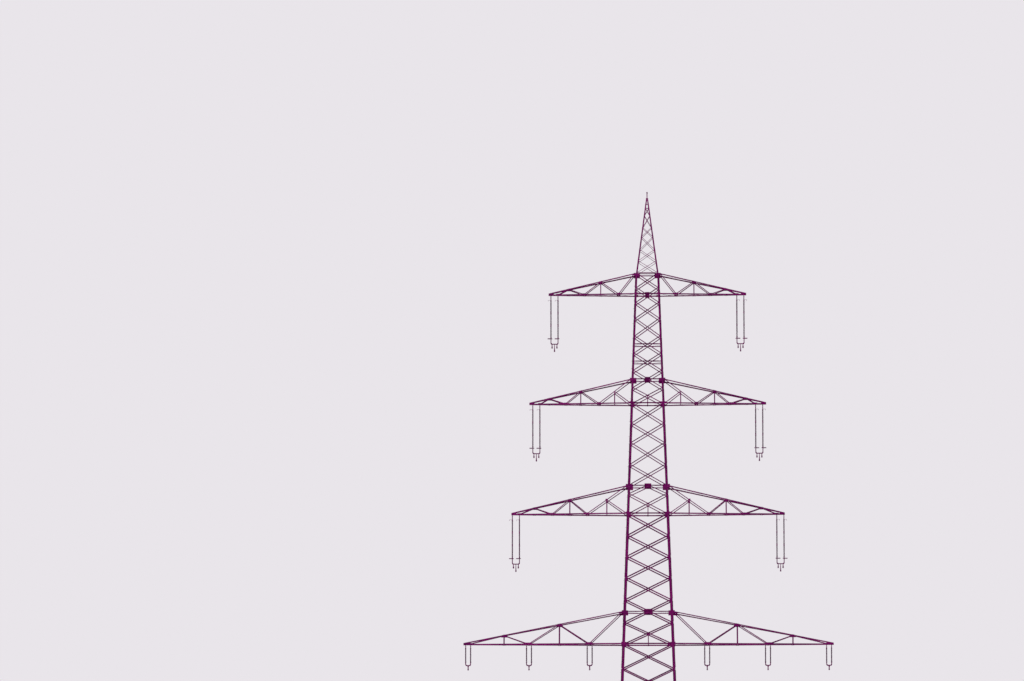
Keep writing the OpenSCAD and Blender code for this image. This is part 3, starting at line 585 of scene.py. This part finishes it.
def ribbon(path, thickness, width):
    """Flat strip along a path of (outward, up) points, thickened to its outer side."""
    points = [Vector(p) for p in path]
    ways = [(b - a).normalized() for a, b in zip(points, points[1:])]
    outer = []
    for point, before, after in zip(points, [ways[0], *ways], [*ways, ways[-1]]):
        square = Vector((-after.y, after.x))
        normal = (Vector((-before.y, before.x)) + square).normalized()
        outer.append(point + normal * thickness / (normal @ square))
    return slab([*points, *reversed(outer)], width)


def hex_bolt(diameter, grip):
    """Bolt with its head and washer above z = 0 and its nut below a joint that is grip thick."""

    def part(profile, drop, sides):
        return lathe([(r * diameter, h * diameter - drop) for r, h in profile], sides)

    return [
        part(BOLT_WASHER, 0, 10),
        part(BOLT_HEAD, 0, 6),
        part(BOLT_NUT, grip, 6),
        part(BOLT_END, grip, 8),
    ]


class Pile:
    """Many small solids that become one piece."""

    def __init__(self):
        self.points = []
        self.faces = []
        self.count = 0
        self.bolted = []

    def add(self, solids, place):
        """Adds solids that stand together, at a place."""
        turn = np.array(place.to_3x3())
        for points, faces in solids:
            self.points.append(points @ turn.T + np.array(place.translation))
            self.faces += [tuple(k + self.count for k in face) for face in faces]
            self.count += len(points)

    def bolt(self, bolt, place, spot=(0, 0, 0)):
        """Adds a bolt, unless its head would touch one that is there already."""
        seat = place @ Matrix.Translation(spot)
        centre = seat.to_translation()
        if all((centre - other).length > BOLT_ROOM for other in self.bolted):
            self.bolted.append(centre)
            self.add(bolt, seat)

    def row(self, bolt, place, start, towards, steps):
        """Adds bolts at each of the steps from start towards another point."""
        way = (towards - start).normalized()
        for step in steps:
            self.bolt(bolt, place, start + way * step)

    def piece(self, title, finish, body="tower"):
        """Makes the piece that rides on a body."""
        mesh = bpy.data.meshes.new(title)
        mesh.from_pydata(np.concatenate(self.points).tolist(), [], self.faces)
        mesh.materials.append(finish)
        made = bpy.data.objects.new(title, mesh)
        bpy.context.scene.collection.objects.link(made)
        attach(made, body)
        return made


# Tower faces


def leg_section(z):
    """Flange and thickness of a body leg at height z."""
    k = sum(z > top for top in LEG_TOPS[:-1])
    return LEG_WIDTHS[k], LEG_THICKNESSES[k]


def leg_plates(i, turn):
    """Middle, width and height of the low and the top plate on each leg of a face at crossarm i."""
    low, top = (LOW_PLATE_W[i], LOW_PLATE_H[i]), (TOP_PLATE_W[i], TOP_PLATE_H[i])
    if turn % 2:
        # No chord meets the side faces, so their plates have no width beyond the leg
        low = top = (0, SIDE_PLATE_H)
    top_z = min(ARM_TOP_Z[i] - BRACE_W, SHOULDER_Z - top[1] / 2 - PLATE_GAP)
    return (ARM_BOTTOM_Z[i] + BRACE_W, *low), (top_z, *top)


def body_bolts(turn, finish):
    """Bolts of the bars and plates of one body face."""
    pile = Pile()
    place = BODY.face(turn) @ Matrix.Translation((0, 0, BRACE_T))
    through_legs = {t: hex_bolt(BOLT, BRACE_T + t) for t in LEG_THICKNESSES}
    through_bar = hex_bolt(SMALL_BOLT, BRACE_T)

    def leg_bolt(z):
        return through_legs[leg_section(z)[1]]

    for z in sorted({*LOW_ENDS, *HIGH_ENDS}):
        for side in SIDES:
            pile.bolt(leg_bolt(z), place, BODY.point(z, side))
    for low, high in BODY_PANELS:
        pile.bolt(through_bar, place, BODY.point(BODY.crossing(low, high), 0))
        for side in SIDES:
            foot = BODY.point(low, side)
            head = BODY.point(high, -side)
            pile.row(leg_bolt(low), place, foot, head, DIAGONAL_STEPS)
            pile.row(leg_bolt(high), place, head, foot, DIAGONAL_STEPS)
    for z in [TOP_TIE_Z, *HEAVY_TIE_Z, *LIGHT_TIE_Z]:
        for side in SIDES:
            pile.row(leg_bolt(z), place, BODY.point(z, side), BODY.point(z, 0), TIE_STEPS)
    for z, width, height in zip(CENTRE_PLATE_Z, CENTRE_PLATE_W, CENTRE_PLATE_H):
        centre = BODY.point(z, 0)
        for side in SIDES:
            for rise in SIDES:
                way = Vector((side * width, rise * height, 0))
                steps = [share * way.length for share in CENTRE_CORNER_SHARES]
                pile.row(through_bar, place, centre, centre + way, steps)
            steps = [share * width for share in CENTRE_TIE_SHARES]
            pile.row(through_bar, place, centre, BODY.point(z, side), steps)
    for i in range(len(ARM_REACH)):
        for side in SIDES:
            for z, width, height in leg_plates(i, turn):
                for row in PLATE_ROW_SHARES:
                    spot = BODY.point(z + row * height, side)
                    pile.bolt(leg_bolt(z), place, spot)
                    # Wide plates also take the chords, outside the legs
                    for share in PLATE_CHORD_SHARES if width else ():
                        across = Vector((side * share * width, 0, 0))
                        pile.bolt(through_bar, place, spot + across)
    return pile.piece(f"body_bolts_{FACES[turn]}", finish)


def base_bolts(turn, finish):
    """Bolts of the bars and plates of one base face."""
    pile = Pile()
    place = BASE.face(turn) @ Matrix.Translation((0, 0, BRACE_T))
    through_leg = hex_bolt(LARGE_BOLT, BRACE_T + BASE_LEG_T)
    through_bar = hex_bolt(BOLT, BRACE_T)
    for low, high in BASE_PANELS:
        middle = BASE.crossing(low, high)
        centre = BASE.point(middle, 0)
        for side in SIDES:
            foot = BASE.point(low, side)
            head = BASE.point(high, -side)
            joint = BASE.point(middle, side)
            pile.row(through_leg, place, foot, head, BASE_END_STEPS)
            pile.row(through_leg, place, head, foot, BASE_END_STEPS)
            pile.row(through_bar, place, foot, head, BASE_STITCH_STEPS)
            for end in (foot, BASE.point(high, side)):
                pile.row(through_bar, place, centre, end, BASE_CENTRE_STEPS)
            pile.row(through_bar, place, centre, joint, BASE_TIE_CENTRE_STEPS)
            pile.row(through_leg, place, joint, centre, BASE_TIE_END_STEPS)
        for side in SIDES:
            for end_z in (low, high):
                # Short braces meet the leg and the diagonal in turn
                for bay in range(1, SUB_BAYS):
                    z = mix(end_z, middle, bay / SUB_BAYS)
                    bar_x = mix(-BASE.reach(low), BASE.reach(high), (z - low) / (high - low))
                    on_leg = BASE.point(z, side)
                    on_bar = Vector((side * abs(bar_x), on_leg.y, 0))
                    after = BASE.point(mix(end_z, middle, (bay + 1) / SUB_BAYS), side)
                    pile.row(through_leg, place, on_leg, on_bar, SUB_ON_LEG_STEPS)
                    pile.row(through_bar, place, on_bar, on_leg, SUB_ON_BAR_STEPS)
                    pile.row(through_leg, place, after, on_bar, SUB_AFTER_STEPS)
    for side in SIDES:
        for z in (FOOT_NODE_Z, BASE_NODE_Z):
            for row in BASE_PLATE_ROWS:
                pile.bolt(through_leg, place, BASE.point(z + row, side))
    return pile.piece(f"base_bolts_{FACES[turn]}", finish)


# Legs


def splice(pile, place, w, t, lowest):
    """Inner cover plates of one leg joint, with bolts from the lowest row of each flange up."""
    cover = t * SPLICE_T_SHARE
    inset = t + SPLICE_FROM_HEEL
    width = w - inset - SPLICE_FROM_EDGE
    foot = -SPLICE_LENGTH / 2
    plates = [
        block((width, cover, SPLICE_LENGTH), (inset, t, foot)),
        block((cover, width, SPLICE_LENGTH), (t, inset, foot)),
    ]
    pile.add(plates, place)
    bolt = hex_bolt(BOLT, t + cover)
    for row in SPLICE_ROWS:
        for share in SPLICE_LINE_SHARES:
            reach = w * share
            height = row * SPLICE_PITCH
            if row >= lowest[0]:
                pile.bolt(bolt, place @ turned((reach, 0, height), *ON_X_FLANGE))
            if row >= lowest[1]:
                pile.bolt(bolt, place @ turned((0, reach, height), *ON_Y_FLANGE))


def leg_splices(turn, finish):
    """Cover plates of the joints between the lengths of one leg."""
    pile = Pile()
    every_row = (SPLICE_ROWS[0], SPLICE_ROWS[0])
    # Above a crossarm its plate covers one row of bolts, and the taller one on a side face two
    uncovered = (-1, -2) if turn % 2 else (-2, -1)
    splice(pile, BASE.corner(turn, BASE_SPLICE_Z), BASE_LEG_W, BASE_LEG_T, every_row)
    splice(pile, BODY.corner(turn, BODY_SPLICE_Z), *leg_section(BODY_SPLICE_Z), every_row)
    for z, w, t in zip(LEG_TOPS, LEG_WIDTHS[1:], LEG_THICKNESSES[1:]):
        splice(pile, BODY.corner(turn, z), w, t, uncovered)
    return pile.piece(f"leg_splices_{CORNERS[turn]}", finish)


def step_bolts(turn, finish):
    """Climbing bolts up one leg, to its two sides in turn."""
    pile = Pile()
    head_r, head_h = STEP_HEAD
    nut_r, nut_h = STEP_NUT
    step = [
        rod(STEP_R, -STEP_TAIL, STEP_REACH, 8),
        rod(head_r, STEP_REACH, STEP_REACH + head_h, 10),
        rod(nut_r, 0, nut_h, 6),
    ]
    for k in range(int((SHOULDER_Z - STEP_FOOT_Z) / STEP_PITCH)):
        z = STEP_FOOT_Z + k * STEP_PITCH
        if any(abs(z - level) < STEP_CLEARANCE for level in (BEND_Z, FOOT_NODE_Z, BASE_NODE_Z)):
            continue
        place = (BASE if z < BEND_Z else BODY).corner(turn, z)
        if k % 2:
            pile.add(step, place @ turned((STEP_FROM_HEEL, 0, 0), *ON_X_FLANGE))
        else:
            pile.add(step, place @ turned((0, STEP_FROM_HEEL, 0), *ON_Y_FLANGE))
    return pile.piece("step_bolts", finish)


# Base


def angle_bar(pile, start, end, size):
    """Level angle between two points, with one flange flat and the other pointing down."""
    w, t = size
    way = Vector(end) - Vector(start)
    length = way.length
    flanges = [block((length, w, t), (0, -w / 2, -t)), block((length, t, w), (0, w / 2 - t, -w))]
    pile.add(flanges, turned(start, way.normalized(), (0, 0, 1)))


def base_plan_bracing(finish):
    """Level diamonds inside the spread base, at the bend and at its ties, with corner struts."""
    pile = Pile()
    levels = [BEND_Z - BEND_GAP, *(BASE.crossing(low, high) for low, high in BASE_PANELS)]
    for z in levels:
        reach = BASE.half(z) - PLAN_INSET
        half = reach / 2
        middles = [(0, -reach, z), (reach, 0, z), (0, reach, z), (-reach, 0, z)]
        for start, end in zip(middles, [*middles[1:], middles[0]]):
            angle_bar(pile, start, end, PLAN_BAR)
        # From the middle of one half tie to that of the next
        for x, y in ((1, -1), (1, 1), (-1, 1), (-1, -1)):
            angle_bar(pile, (x * half, y * reach, z), (x * reach, y * half, z), PLAN_STRUT)
    return pile.piece("base_plan_bracing", finish)


def stub_collars(finish):
    """Sloped mortar collar round each leg, where it leaves its footing."""
    pile = Pile()
    square = Matrix.Rotation(math.pi / 4, 4, "Z")
    for x in SIDES:
        for y in SIDES:
            seat = Matrix.Translation((x * FOOTING_SEAT, y * FOOTING_SEAT, FOOTING_H))
            pile.add([lathe(COLLAR, 4)], seat @ square)
    return pile.piece("stub_collars", finish)


def earth_straps(finish):
    """Flat earthing strap from each leg down over its collar and footing to the ground."""
    pile = Pile()
    x = BASE.half(STRAP_HEAD_Z) - STRAP_FROM_CORNER
    aside = x - FOOTING_SEAT
    bevel_top = FOOTING_SEAT + math.sqrt((FOOTING_R - FOOTING_CHAMFER) ** 2 - aside ** 2)
    rim = FOOTING_SEAT + math.sqrt(FOOTING_R ** 2 - aside ** 2) + STRAP_CLEARANCE
    over_plate = BRACE_T + STRAP_CLEARANCE
    plate_foot_z = FOOT_NODE_Z - FOOT_PLATE_H / 2
    path = [
        (BASE.half(STRAP_HEAD_Z) + over_plate, STRAP_HEAD_Z),
        (BASE.half(plate_foot_z) + over_plate, plate_foot_z),
        (BASE.half(COLLAR_TOP_Z) + over_plate, STRAP_OFF_LEG_Z),
        *((FOOTING_SEAT + out, z) for out, z in STRAP_OVER_COLLAR),
        (bevel_top + STRAP_CLEARANCE, FOOTING_H + STRAP_CLEARANCE),
        (rim, FOOTING_H - FOOTING_CHAMFER + STRAP_CLEARANCE),
        (rim, STRAP_FOOT_Z),
    ]
    strap = ribbon(path, STRAP_T, STRAP_W)
    bolt = hex_bolt(BOLT, STRAP_T + BRACE_T + BASE_LEG_T)
    for turn in range(4):
        spin = quarter(turn)
        pile.add([strap], spin @ turned((x + STRAP_W / 2, 0, 0), (0, -1, 0), (-1, 0, 0)))
        for z in STRAP_BOLT_Z:
            spot = (x, -BASE.half(z) - over_plate - STRAP_T, z)
            pile.bolt(bolt, spin @ turned(spot, *ON_X_FLANGE))
    return pile.piece("earth_straps", finish)


# Crossarms


def truss(i):
    """Place on the front truss of crossarm i, with its joints and posts there, and its length."""
    low, high = (Vector((BODY.half(z), -BODY.half(z), z)) for z in (ARM_BOTTOM_Z[i], ARM_TOP_Z[i]))
    tip = Vector((ARM_REACH[i], -TIP_HALF, ARM_BOTTOM_Z[i]))
    along = (tip - low).normalized()
    out = along.cross(high - low).normalized()
    length = (tip - low).length
    top_start = (high - low) @ along
    top_rise = (high - low) @ out.cross(along)
    axis = CHORD_W[i] / 2

    def lower(x):
        return Vector(((x - low.x) / along.x, axis, 0))

    def upper(x):
        start = (x - low.x) / along.x
        rise = mix(top_rise, TIP_RISE, (start - top_start) / (length - top_start))
        return Vector((start, rise - TOP_CHORD_W[i] / 2, 0))

    joints = [upper(low.x + FIRST_BRACE_X), lower(ARM_BOTTOM_X[i][0])]
    for top_x, bottom_x in zip(ARM_TOP_X[i], ARM_BOTTOM_X[i][1:]):
        joints += [upper(top_x), lower(bottom_x)]
    post_x = ARM_TOP_X[i] if i == LOWEST_ARM else ARM_TOP_X[i][:1]
    posts = [(upper(x), lower(x)) for x in post_x]
    if i in ARMS_WITH_SPLIT_BRACE:
        middle = (joints[0] + joints[1]) / 2
        posts += [(middle, Vector((x, axis, 0))) for x in (middle.x, CHORD_W[i])]
    return turned(low, along, out), joints, posts, length


def truss_bolts(i):
    """Place on the front truss of crossarm i, and each bolt with its point there."""
    place, joints, posts, length = truss(i)
    through = hex_bolt(BOLT, BRACE_T)
    small = hex_bolt(SMALL_BOLT, BRACE_T)
    row = JOINT_ROW_SHARE * JOINT_PLATE_W[i]
    bolts = []
    for joint in joints:
        bolts += [(through, joint + Vector((step, 0, 0))) for step in (-row, 0, row)]
        inward = -1 if joint.y > CHORD_W[i] else 1
        rise = inward * (CHORD_W[i] / 2 + BRACE_ROW_RISE)
        for step in (-row * BRACE_ROW_SHARE, row * BRACE_ROW_SHARE):
            bolts.append((small, joint + Vector((step, rise, 0))))
    for head, foot in posts:
        way = (foot - head).normalized()
        bolts += [(small, foot), (small, foot - way * POST_STEP)]
    for start, end in zip(joints, joints[1:]):
        way = (end - start).normalized()
        bolts += [(small, start + way * BRACE_STEP), (small, end - way * BRACE_STEP)]
    bolts += [(through, Vector((length - x, y, 0))) for x in TIP_BOLT_X for y in TIP_BOLT_Y]
    return place, bolts


def crossarm_bolts(i, side, finish):
    """Bolts of both side trusses of one crossarm."""
    pile = Pile()
    place, bolts = truss_bolts(i)
    for flip in (1, -1):
        seat = Matrix.Diagonal((side, flip, 1, 1)) @ place
        way = seat.col[0].to_3d()
        out = seat.col[2].to_3d()
        for bolt, spot in bolts:
            pile.bolt(bolt, turned(seat @ spot, way, out))
    return pile.piece(f"crossarm_bolts_{i + 1}_{SIDE_NAMES[side]}", finish)


def panel_joint(pile, place, inward):
    """Gusset with its bolts on the outside of a panel, from the middle of one chord inward."""
    length, depth, thick = GUSSET
    way = 1 if place.col[1].y * inward > 0 else -1
    edge = -GUSSET_EDGE if way > 0 else GUSSET_EDGE - depth
    pile.add([block(GUSSET, (-length / 2, edge, 0))], place)
    bolt = hex_bolt(BOLT, thick + BRACE_T)
    for x, y in GUSSET_BOLTS:
        pile.bolt(bolt, place, (x, way * y, thick))


def panel_bolts(i, side, finish):
    """Gussets and bolts of the bottom and top panels of one crossarm."""
    pile = Pile()
    crossed = hex_bolt(BOLT, BRACE_T)
    rise = ARM_TOP_Z[i] - ARM_BOTTOM_Z[i] - TIP_RISE
    bottom_x = [x for pair in zip(ARM_BOTTOM_X[i], ARM_TOP_X[i]) for x in pair]
    # Height, drop to the tip, half width there, chord, joints, and whether it faces up or down
    panels = [
        (ARM_BOTTOM_Z[i], 0, TIP_HALF, CHORD_W[i], bottom_x, -1),
        (ARM_TOP_Z[i], rise, TIP_TOP_HALF, TOP_CHORD_W[i], ARM_TOP_X[i], 1),
    ]
    for z, drop, tip_half, chord_w, joints, facing in panels:
        root = BODY.half(z)
        length = ARM_REACH[i] - root
        out = Vector((side * drop, 0, facing * length)).normalized()
        stations = []
        for x in (root + FIRST_STRUT_X, *joints):
            share = (x - root) / length
            stations.append((x, mix(root, tip_half, share) - chord_w / 2, z - drop * share))
        for x, half, height in stations[1:]:
            for flank in SIDES:
                along = Vector((side * length, -flank * (root - tip_half), -drop)).normalized()
                panel_joint(pile, turned((side * x, flank * half, height), along, out), -flank)
        middle = Vector((side * length, 0, -drop)).normalized()
        for (x, half, height), (next_x, next_half, next_height) in zip(stations, stations[1:]):
            share = half / (half + next_half)
            spot = (side * mix(x, next_x, share), 0, mix(height, next_height, share))
            pile.bolt(crossed, turned(spot, middle, out))
    return pile.piece(f"panel_bolts_{i + 1}_{SIDE_NAMES[side]}", finish)


def hanger_plates(i, side, finish):
    """Base plate with bolts round each hanger lug under one crossarm."""
    pile = Pile()
    length, width, thick = HANGER_PLATE
    bolt = hex_bolt(BOLT, thick + BRACE_T)
    middles, sizes = (LOW_SET_X, SHORT_SET) if i == LOWEST_ARM else ([TIP_SET_X[i]], LONG_SET)
    for middle in middles:
        for end in SIDES:
            lug = side * (middle + end * sizes.pitch / 2)
            seat = Matrix.Translation((lug, 0, ARM_BOTTOM_Z[i] - thick))
            pile.add([block(HANGER_PLATE, (-length / 2, -width / 2, 0))], seat)
            for x in HANGER_BOLT_X:
                for y in HANGER_BOLT_Y:
                    pile.bolt(bolt, seat @ Matrix.Translation((x, y, 0)) @ FLIPPED)
    return pile.piece(f"hanger_plates_{i + 1}_{SIDE_NAMES[side]}", finish)


def plan_cleats(finish):
    """Cleats that hold the corners of the level diamonds to the ties of the body faces."""
    pile = Pile()
    bolt = hex_bolt(SMALL_BOLT, BRACE_T)
    corner = (-CLEAT_LENGTH / 2, CLEAT_GAP, 0)
    cleat = [
        block((CLEAT_LENGTH, CLEAT_DEPTH, CLEAT_T), corner),
        block((CLEAT_LENGTH, CLEAT_T, CLEAT_HEIGHT), corner),
    ]
    for z in [*HEAVY_TIE_Z, *LIGHT_TIE_Z]:
        seat = Matrix.Translation((0, -BODY.half(z + BRACE_T), z + BRACE_T / 2))
        for turn in range(4):
            place = quarter(turn) @ seat
            pile.add(cleat, place)
            for x in CLEAT_BOLT_X:
                pile.bolt(bolt, place, (x, CLEAT_BOLT_Y, CLEAT_T))
    return pile.piece("plan_cleats", finish)


# Peak


def clamp_fittings(pile, x, z):
    """Two U-bolts with their nuts round a clamp."""
    leg = [rod(U_BOLT_R, U_BOLT_LEG_FOOT, U_BOLT_LEG_TOP, 8), lathe(U_BOLT_NUT, 6)]
    half = CLAMP_W / 2 + U_BOLT_R
    bow = [rod(U_BOLT_R, -half - U_BOLT_R, half + U_BOLT_R, 8)]
    for y in U_BOLT_Y:
        for side in SIDES:
            pile.add(leg, Matrix.Translation((x + side * half, y, z + U_BOLT_NUT_Z)))
        pile.add(bow, Matrix.Translation((x, y, z + U_BOLT_BOW_Z)) @ Z_TO_X)


def peak_bolts(finish):
    """Bolts of the four peak faces and of the cap plate, and the U-bolts of the clamp."""
    pile = Pile()
    through_bar = hex_bolt(SMALL_BOLT, BRACE_T)
    through_cap = hex_bolt(SMALL_BOLT, CAP_PLATE_T)
    nodes = [mix(SHOULDER_Z, PEAK_TOP_Z, share) for share in PEAK_NODE_SHARES]
    tie = mix(SHOULDER_Z, PEAK_TOP_Z, PEAK_TIE_SHARE)
    for turn in range(4):
        place = PEAK.face(turn)
        for z in [*nodes, tie]:
            for side in SIDES:
                for row in PEAK_ROWS:
                    pile.bolt(through_bar, place, PEAK.point(z, side) + Vector((0, row, 0)))
        for low, high in zip([SHOULDER_Z, *nodes], nodes):
            pile.bolt(through_bar, place, PEAK.point(PEAK.crossing(low, high), 0))
        pile.bolt(through_cap, quarter(turn), (CAP_BOLT_X, -CAP_BOLT_X, PEAK_TOP_Z + CAP_PLATE_T))
    clamp_fittings(pile, 0, PEAK_TOP_Z + BRACKET_STEM_H)
    return pile.piece("peak_bolts", finish)


# Insulator sets


def dress_set(title, item, porcelain, forged):
    """Gives the sheds of a set the glaze and all the rest the forged finish."""
    x, pivot_z, sizes = SETS[title]
    item.data.materials.clear()
    item.data.materials.append(forged)
    item.data.materials.append(porcelain)
    count = len(item.data.polygons)
    centres = np.zeros(count * 3)
    item.data.polygons.foreach_get("center", centres)
    centres = centres.reshape(-1, 3)
    off_axis = np.minimum(*(np.abs(centres[:, 0] - x - end * sizes.pitch / 2) for end in SIDES))
    near = np.hypot(off_axis, centres[:, 1]) < GLAZED_R
    glazed = np.zeros(count, bool)
    for k in range(sizes.rods):
        top = pivot_z - sizes.link - k * sizes.rod_length
        foot = top - sizes.rod_length
        glazed |= near & (centres[:, 2] < top - CAP_LENGTH) & (centres[:, 2] > foot + CAP_LENGTH)
    item.data.polygons.foreach_set("material_index", glazed.astype(np.int32))
    item.data.update()


def set_fittings(title, finish):
    """Bolts, washers, split pins, collars and U-bolts of one insulator set."""
    x, pivot_z, sizes = SETS[title]
    pile = Pile()
    rods_top = pivot_z - sizes.link
    rods_foot = rods_top - sizes.rods * sizes.rod_length
    yoke_z = rods_foot - sizes.tail
    bolt = hex_bolt(LARGE_BOLT, YOKE_T)
    collar = [lathe(CAP_COLLAR, 24)]
    ball = [lathe(BALL, 16)]
    washer = [lathe(PIN_WASHER, 16)]
    split_pin = [block(SPLIT_PIN, [-size / 2 for size in SPLIT_PIN])]
    collar_h = CAP_COLLAR[-1][1]
    for end in SIDES:
        string_x = x + end * sizes.pitch / 2
        pile.bolt(bolt, Matrix.Translation((string_x, -YOKE_T / 2, yoke_z)) @ Z_TO_FRONT)
        for way in SIDES:
            outer = string_x + way * (LUG_T / 2 + EAR_GAP + EAR_T)
            place = turned((outer, 0, pivot_z), (0, 1, 0), (way, 0, 0))
            pile.add(washer, place)
            pile.add(split_pin, place @ Matrix.Translation((0, 0, SPLIT_PIN_RISE)))
        for k in range(sizes.rods):
            top = rods_top - k * sizes.rod_length - CAP_LENGTH
            foot = rods_top - (k + 1) * sizes.rod_length + CAP_LENGTH
            for z in (top + CAP_COLLAR_INSET, foot - CAP_COLLAR_INSET - collar_h):
                pile.add(collar, Matrix.Translation((string_x, 0, z)))
        for z in (rods_top, rods_foot - BALL[-1][1]):
            pile.add(ball, Matrix.Translation((string_x, 0, z)))
    hanger_z = yoke_z - YOKE_DROP + HANGER_BOLT_RISE
    for off, drop in sizes.clamps:
        clamp_fittings(pile, x + off, yoke_z - drop)
        spot = Matrix.Translation((x + off, -HANGER_T / 2, hanger_z))
        pile.bolt(hex_bolt(BOLT, HANGER_T), spot @ Z_TO_FRONT)
    return pile.piece(f"{title}_fittings", finish, body=f"{title}_body")


# Whole object


def dress_nodes(nodes, finishes):
    """Gives each CAD node its finish."""
    for title, item in nodes.items():
        if title in SETS:
            dress_set(title, item, finishes["porcelain"], finishes["forged"])
            continue
        kind = "concrete" if title == "footings" else "legs" if "leg" in title else "bars"
        item.data.materials.clear()
        item.data.materials.append(finishes[kind])


def add_pieces(finishes):
    """Makes every piece that the CAD leaves to this script."""
    for turn in range(4):
        body_bolts(turn, finishes["bolts"])
        base_bolts(turn, finishes["bolts"])
        leg_splices(turn, finishes["legs"])
    for i in range(len(ARM_REACH)):
        for side in SIDES:
            crossarm_bolts(i, side, finishes["bolts"])
            panel_bolts(i, side, finishes["bolts"])
            hanger_plates(i, side, finishes["forged"])
    step_bolts(CLIMBED_LEG, finishes["bolts"])
    plan_cleats(finishes["bars"])
    peak_bolts(finishes["bolts"])
    base_plan_bracing(finishes["bars"])
    stub_collars(finishes["concrete"])
    earth_straps(finishes["forged"])
    for title in SETS:
        set_fittings(title, finishes["forged"])


# Stage


def make_floor():
    """Pale floor, just under the footings."""
    bpy.ops.mesh.primitive_circle_add(
        vertices=96, radius=FLOOR_R, fill_type="NGON", location=(0, 0, FLOOR_Z))
    floor = bpy.context.object
    floor.name = "floor"
    paint = Finish("pale_floor")
    paint.set("Base Color", linear(FLOOR_COLOUR))
    paint.set("Roughness", 0.9)
    floor.data.materials.append(paint.material)


def make_world():
    """Plain light from all sides, with a pale background in view and in reflections."""
    world = bpy.data.worlds.new("pale_world")
    world.use_nodes = True
    tree = world.node_tree
    tree.nodes.clear()
    path = add_node(tree, "ShaderNodeLightPath")
    seen = path.outputs["Is Camera Ray"]
    for ray in ("Is Glossy Ray", "Is Transmission Ray"):
        inputs = {0: seen, 1: path.outputs[ray]}
        seen = add_node(tree, "ShaderNodeMath", inputs, operation="MAXIMUM").outputs[0]
    shades = (
        {"Color": (1, 1, 1, 1), "Strength": AMBIENT_STRENGTH},
        {"Color": linear(BACKGROUND_COLOUR), "Strength": 1.0},
    )
    ambient, pale = (add_node(tree, "ShaderNodeBackground", shade).outputs[0] for shade in shades)
    both = add_node(tree, "ShaderNodeMixShader", {0: seen, 1: ambient, 2: pale})
    add_node(tree, "ShaderNodeOutputWorld", {0: both.outputs[0]})
    bpy.context.scene.world = world


def make_key_lamp():
    """Soft sun from the front, above and to the left."""
    lamp = bpy.data.lights.new("key", "SUN")
    lamp.energy = KEY_STRENGTH
    lamp.angle = KEY_SPREAD
    key = bpy.data.objects.new("key", lamp)
    key.rotation_euler = KEY_TURN
    bpy.context.scene.collection.objects.link(key)


def make_camera():
    """The photograph's view."""
    view = bpy.data.cameras.new("view")
    view.lens = CAMERA_LENS
    view.sensor_width = CAMERA_SENSOR
    view.clip_start, view.clip_end = CAMERA_RANGE
    camera = bpy.data.objects.new("camera", view)
    camera.location = (0, -CAMERA_DISTANCE, CAMERA_HEIGHT)
    camera.rotation_euler = (math.pi / 2 + CAMERA_PITCH, 0, CAMERA_YAW)
    bpy.context.scene.collection.objects.link(camera)
    bpy.context.scene.camera = camera
    bpy.context.scene.view_settings.view_transform = "Standard"


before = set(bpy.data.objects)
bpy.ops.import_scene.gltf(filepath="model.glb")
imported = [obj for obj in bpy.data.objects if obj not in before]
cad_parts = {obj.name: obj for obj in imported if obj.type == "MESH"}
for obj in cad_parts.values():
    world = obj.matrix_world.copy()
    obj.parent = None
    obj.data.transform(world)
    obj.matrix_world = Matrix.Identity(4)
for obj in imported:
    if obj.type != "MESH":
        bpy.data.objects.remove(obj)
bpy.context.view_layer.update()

make_floor()
make_world()
make_key_lamp()
make_camera()
object_finishes = make_finishes()
dress_nodes(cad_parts, object_finishes)
add_pieces(object_finishes)
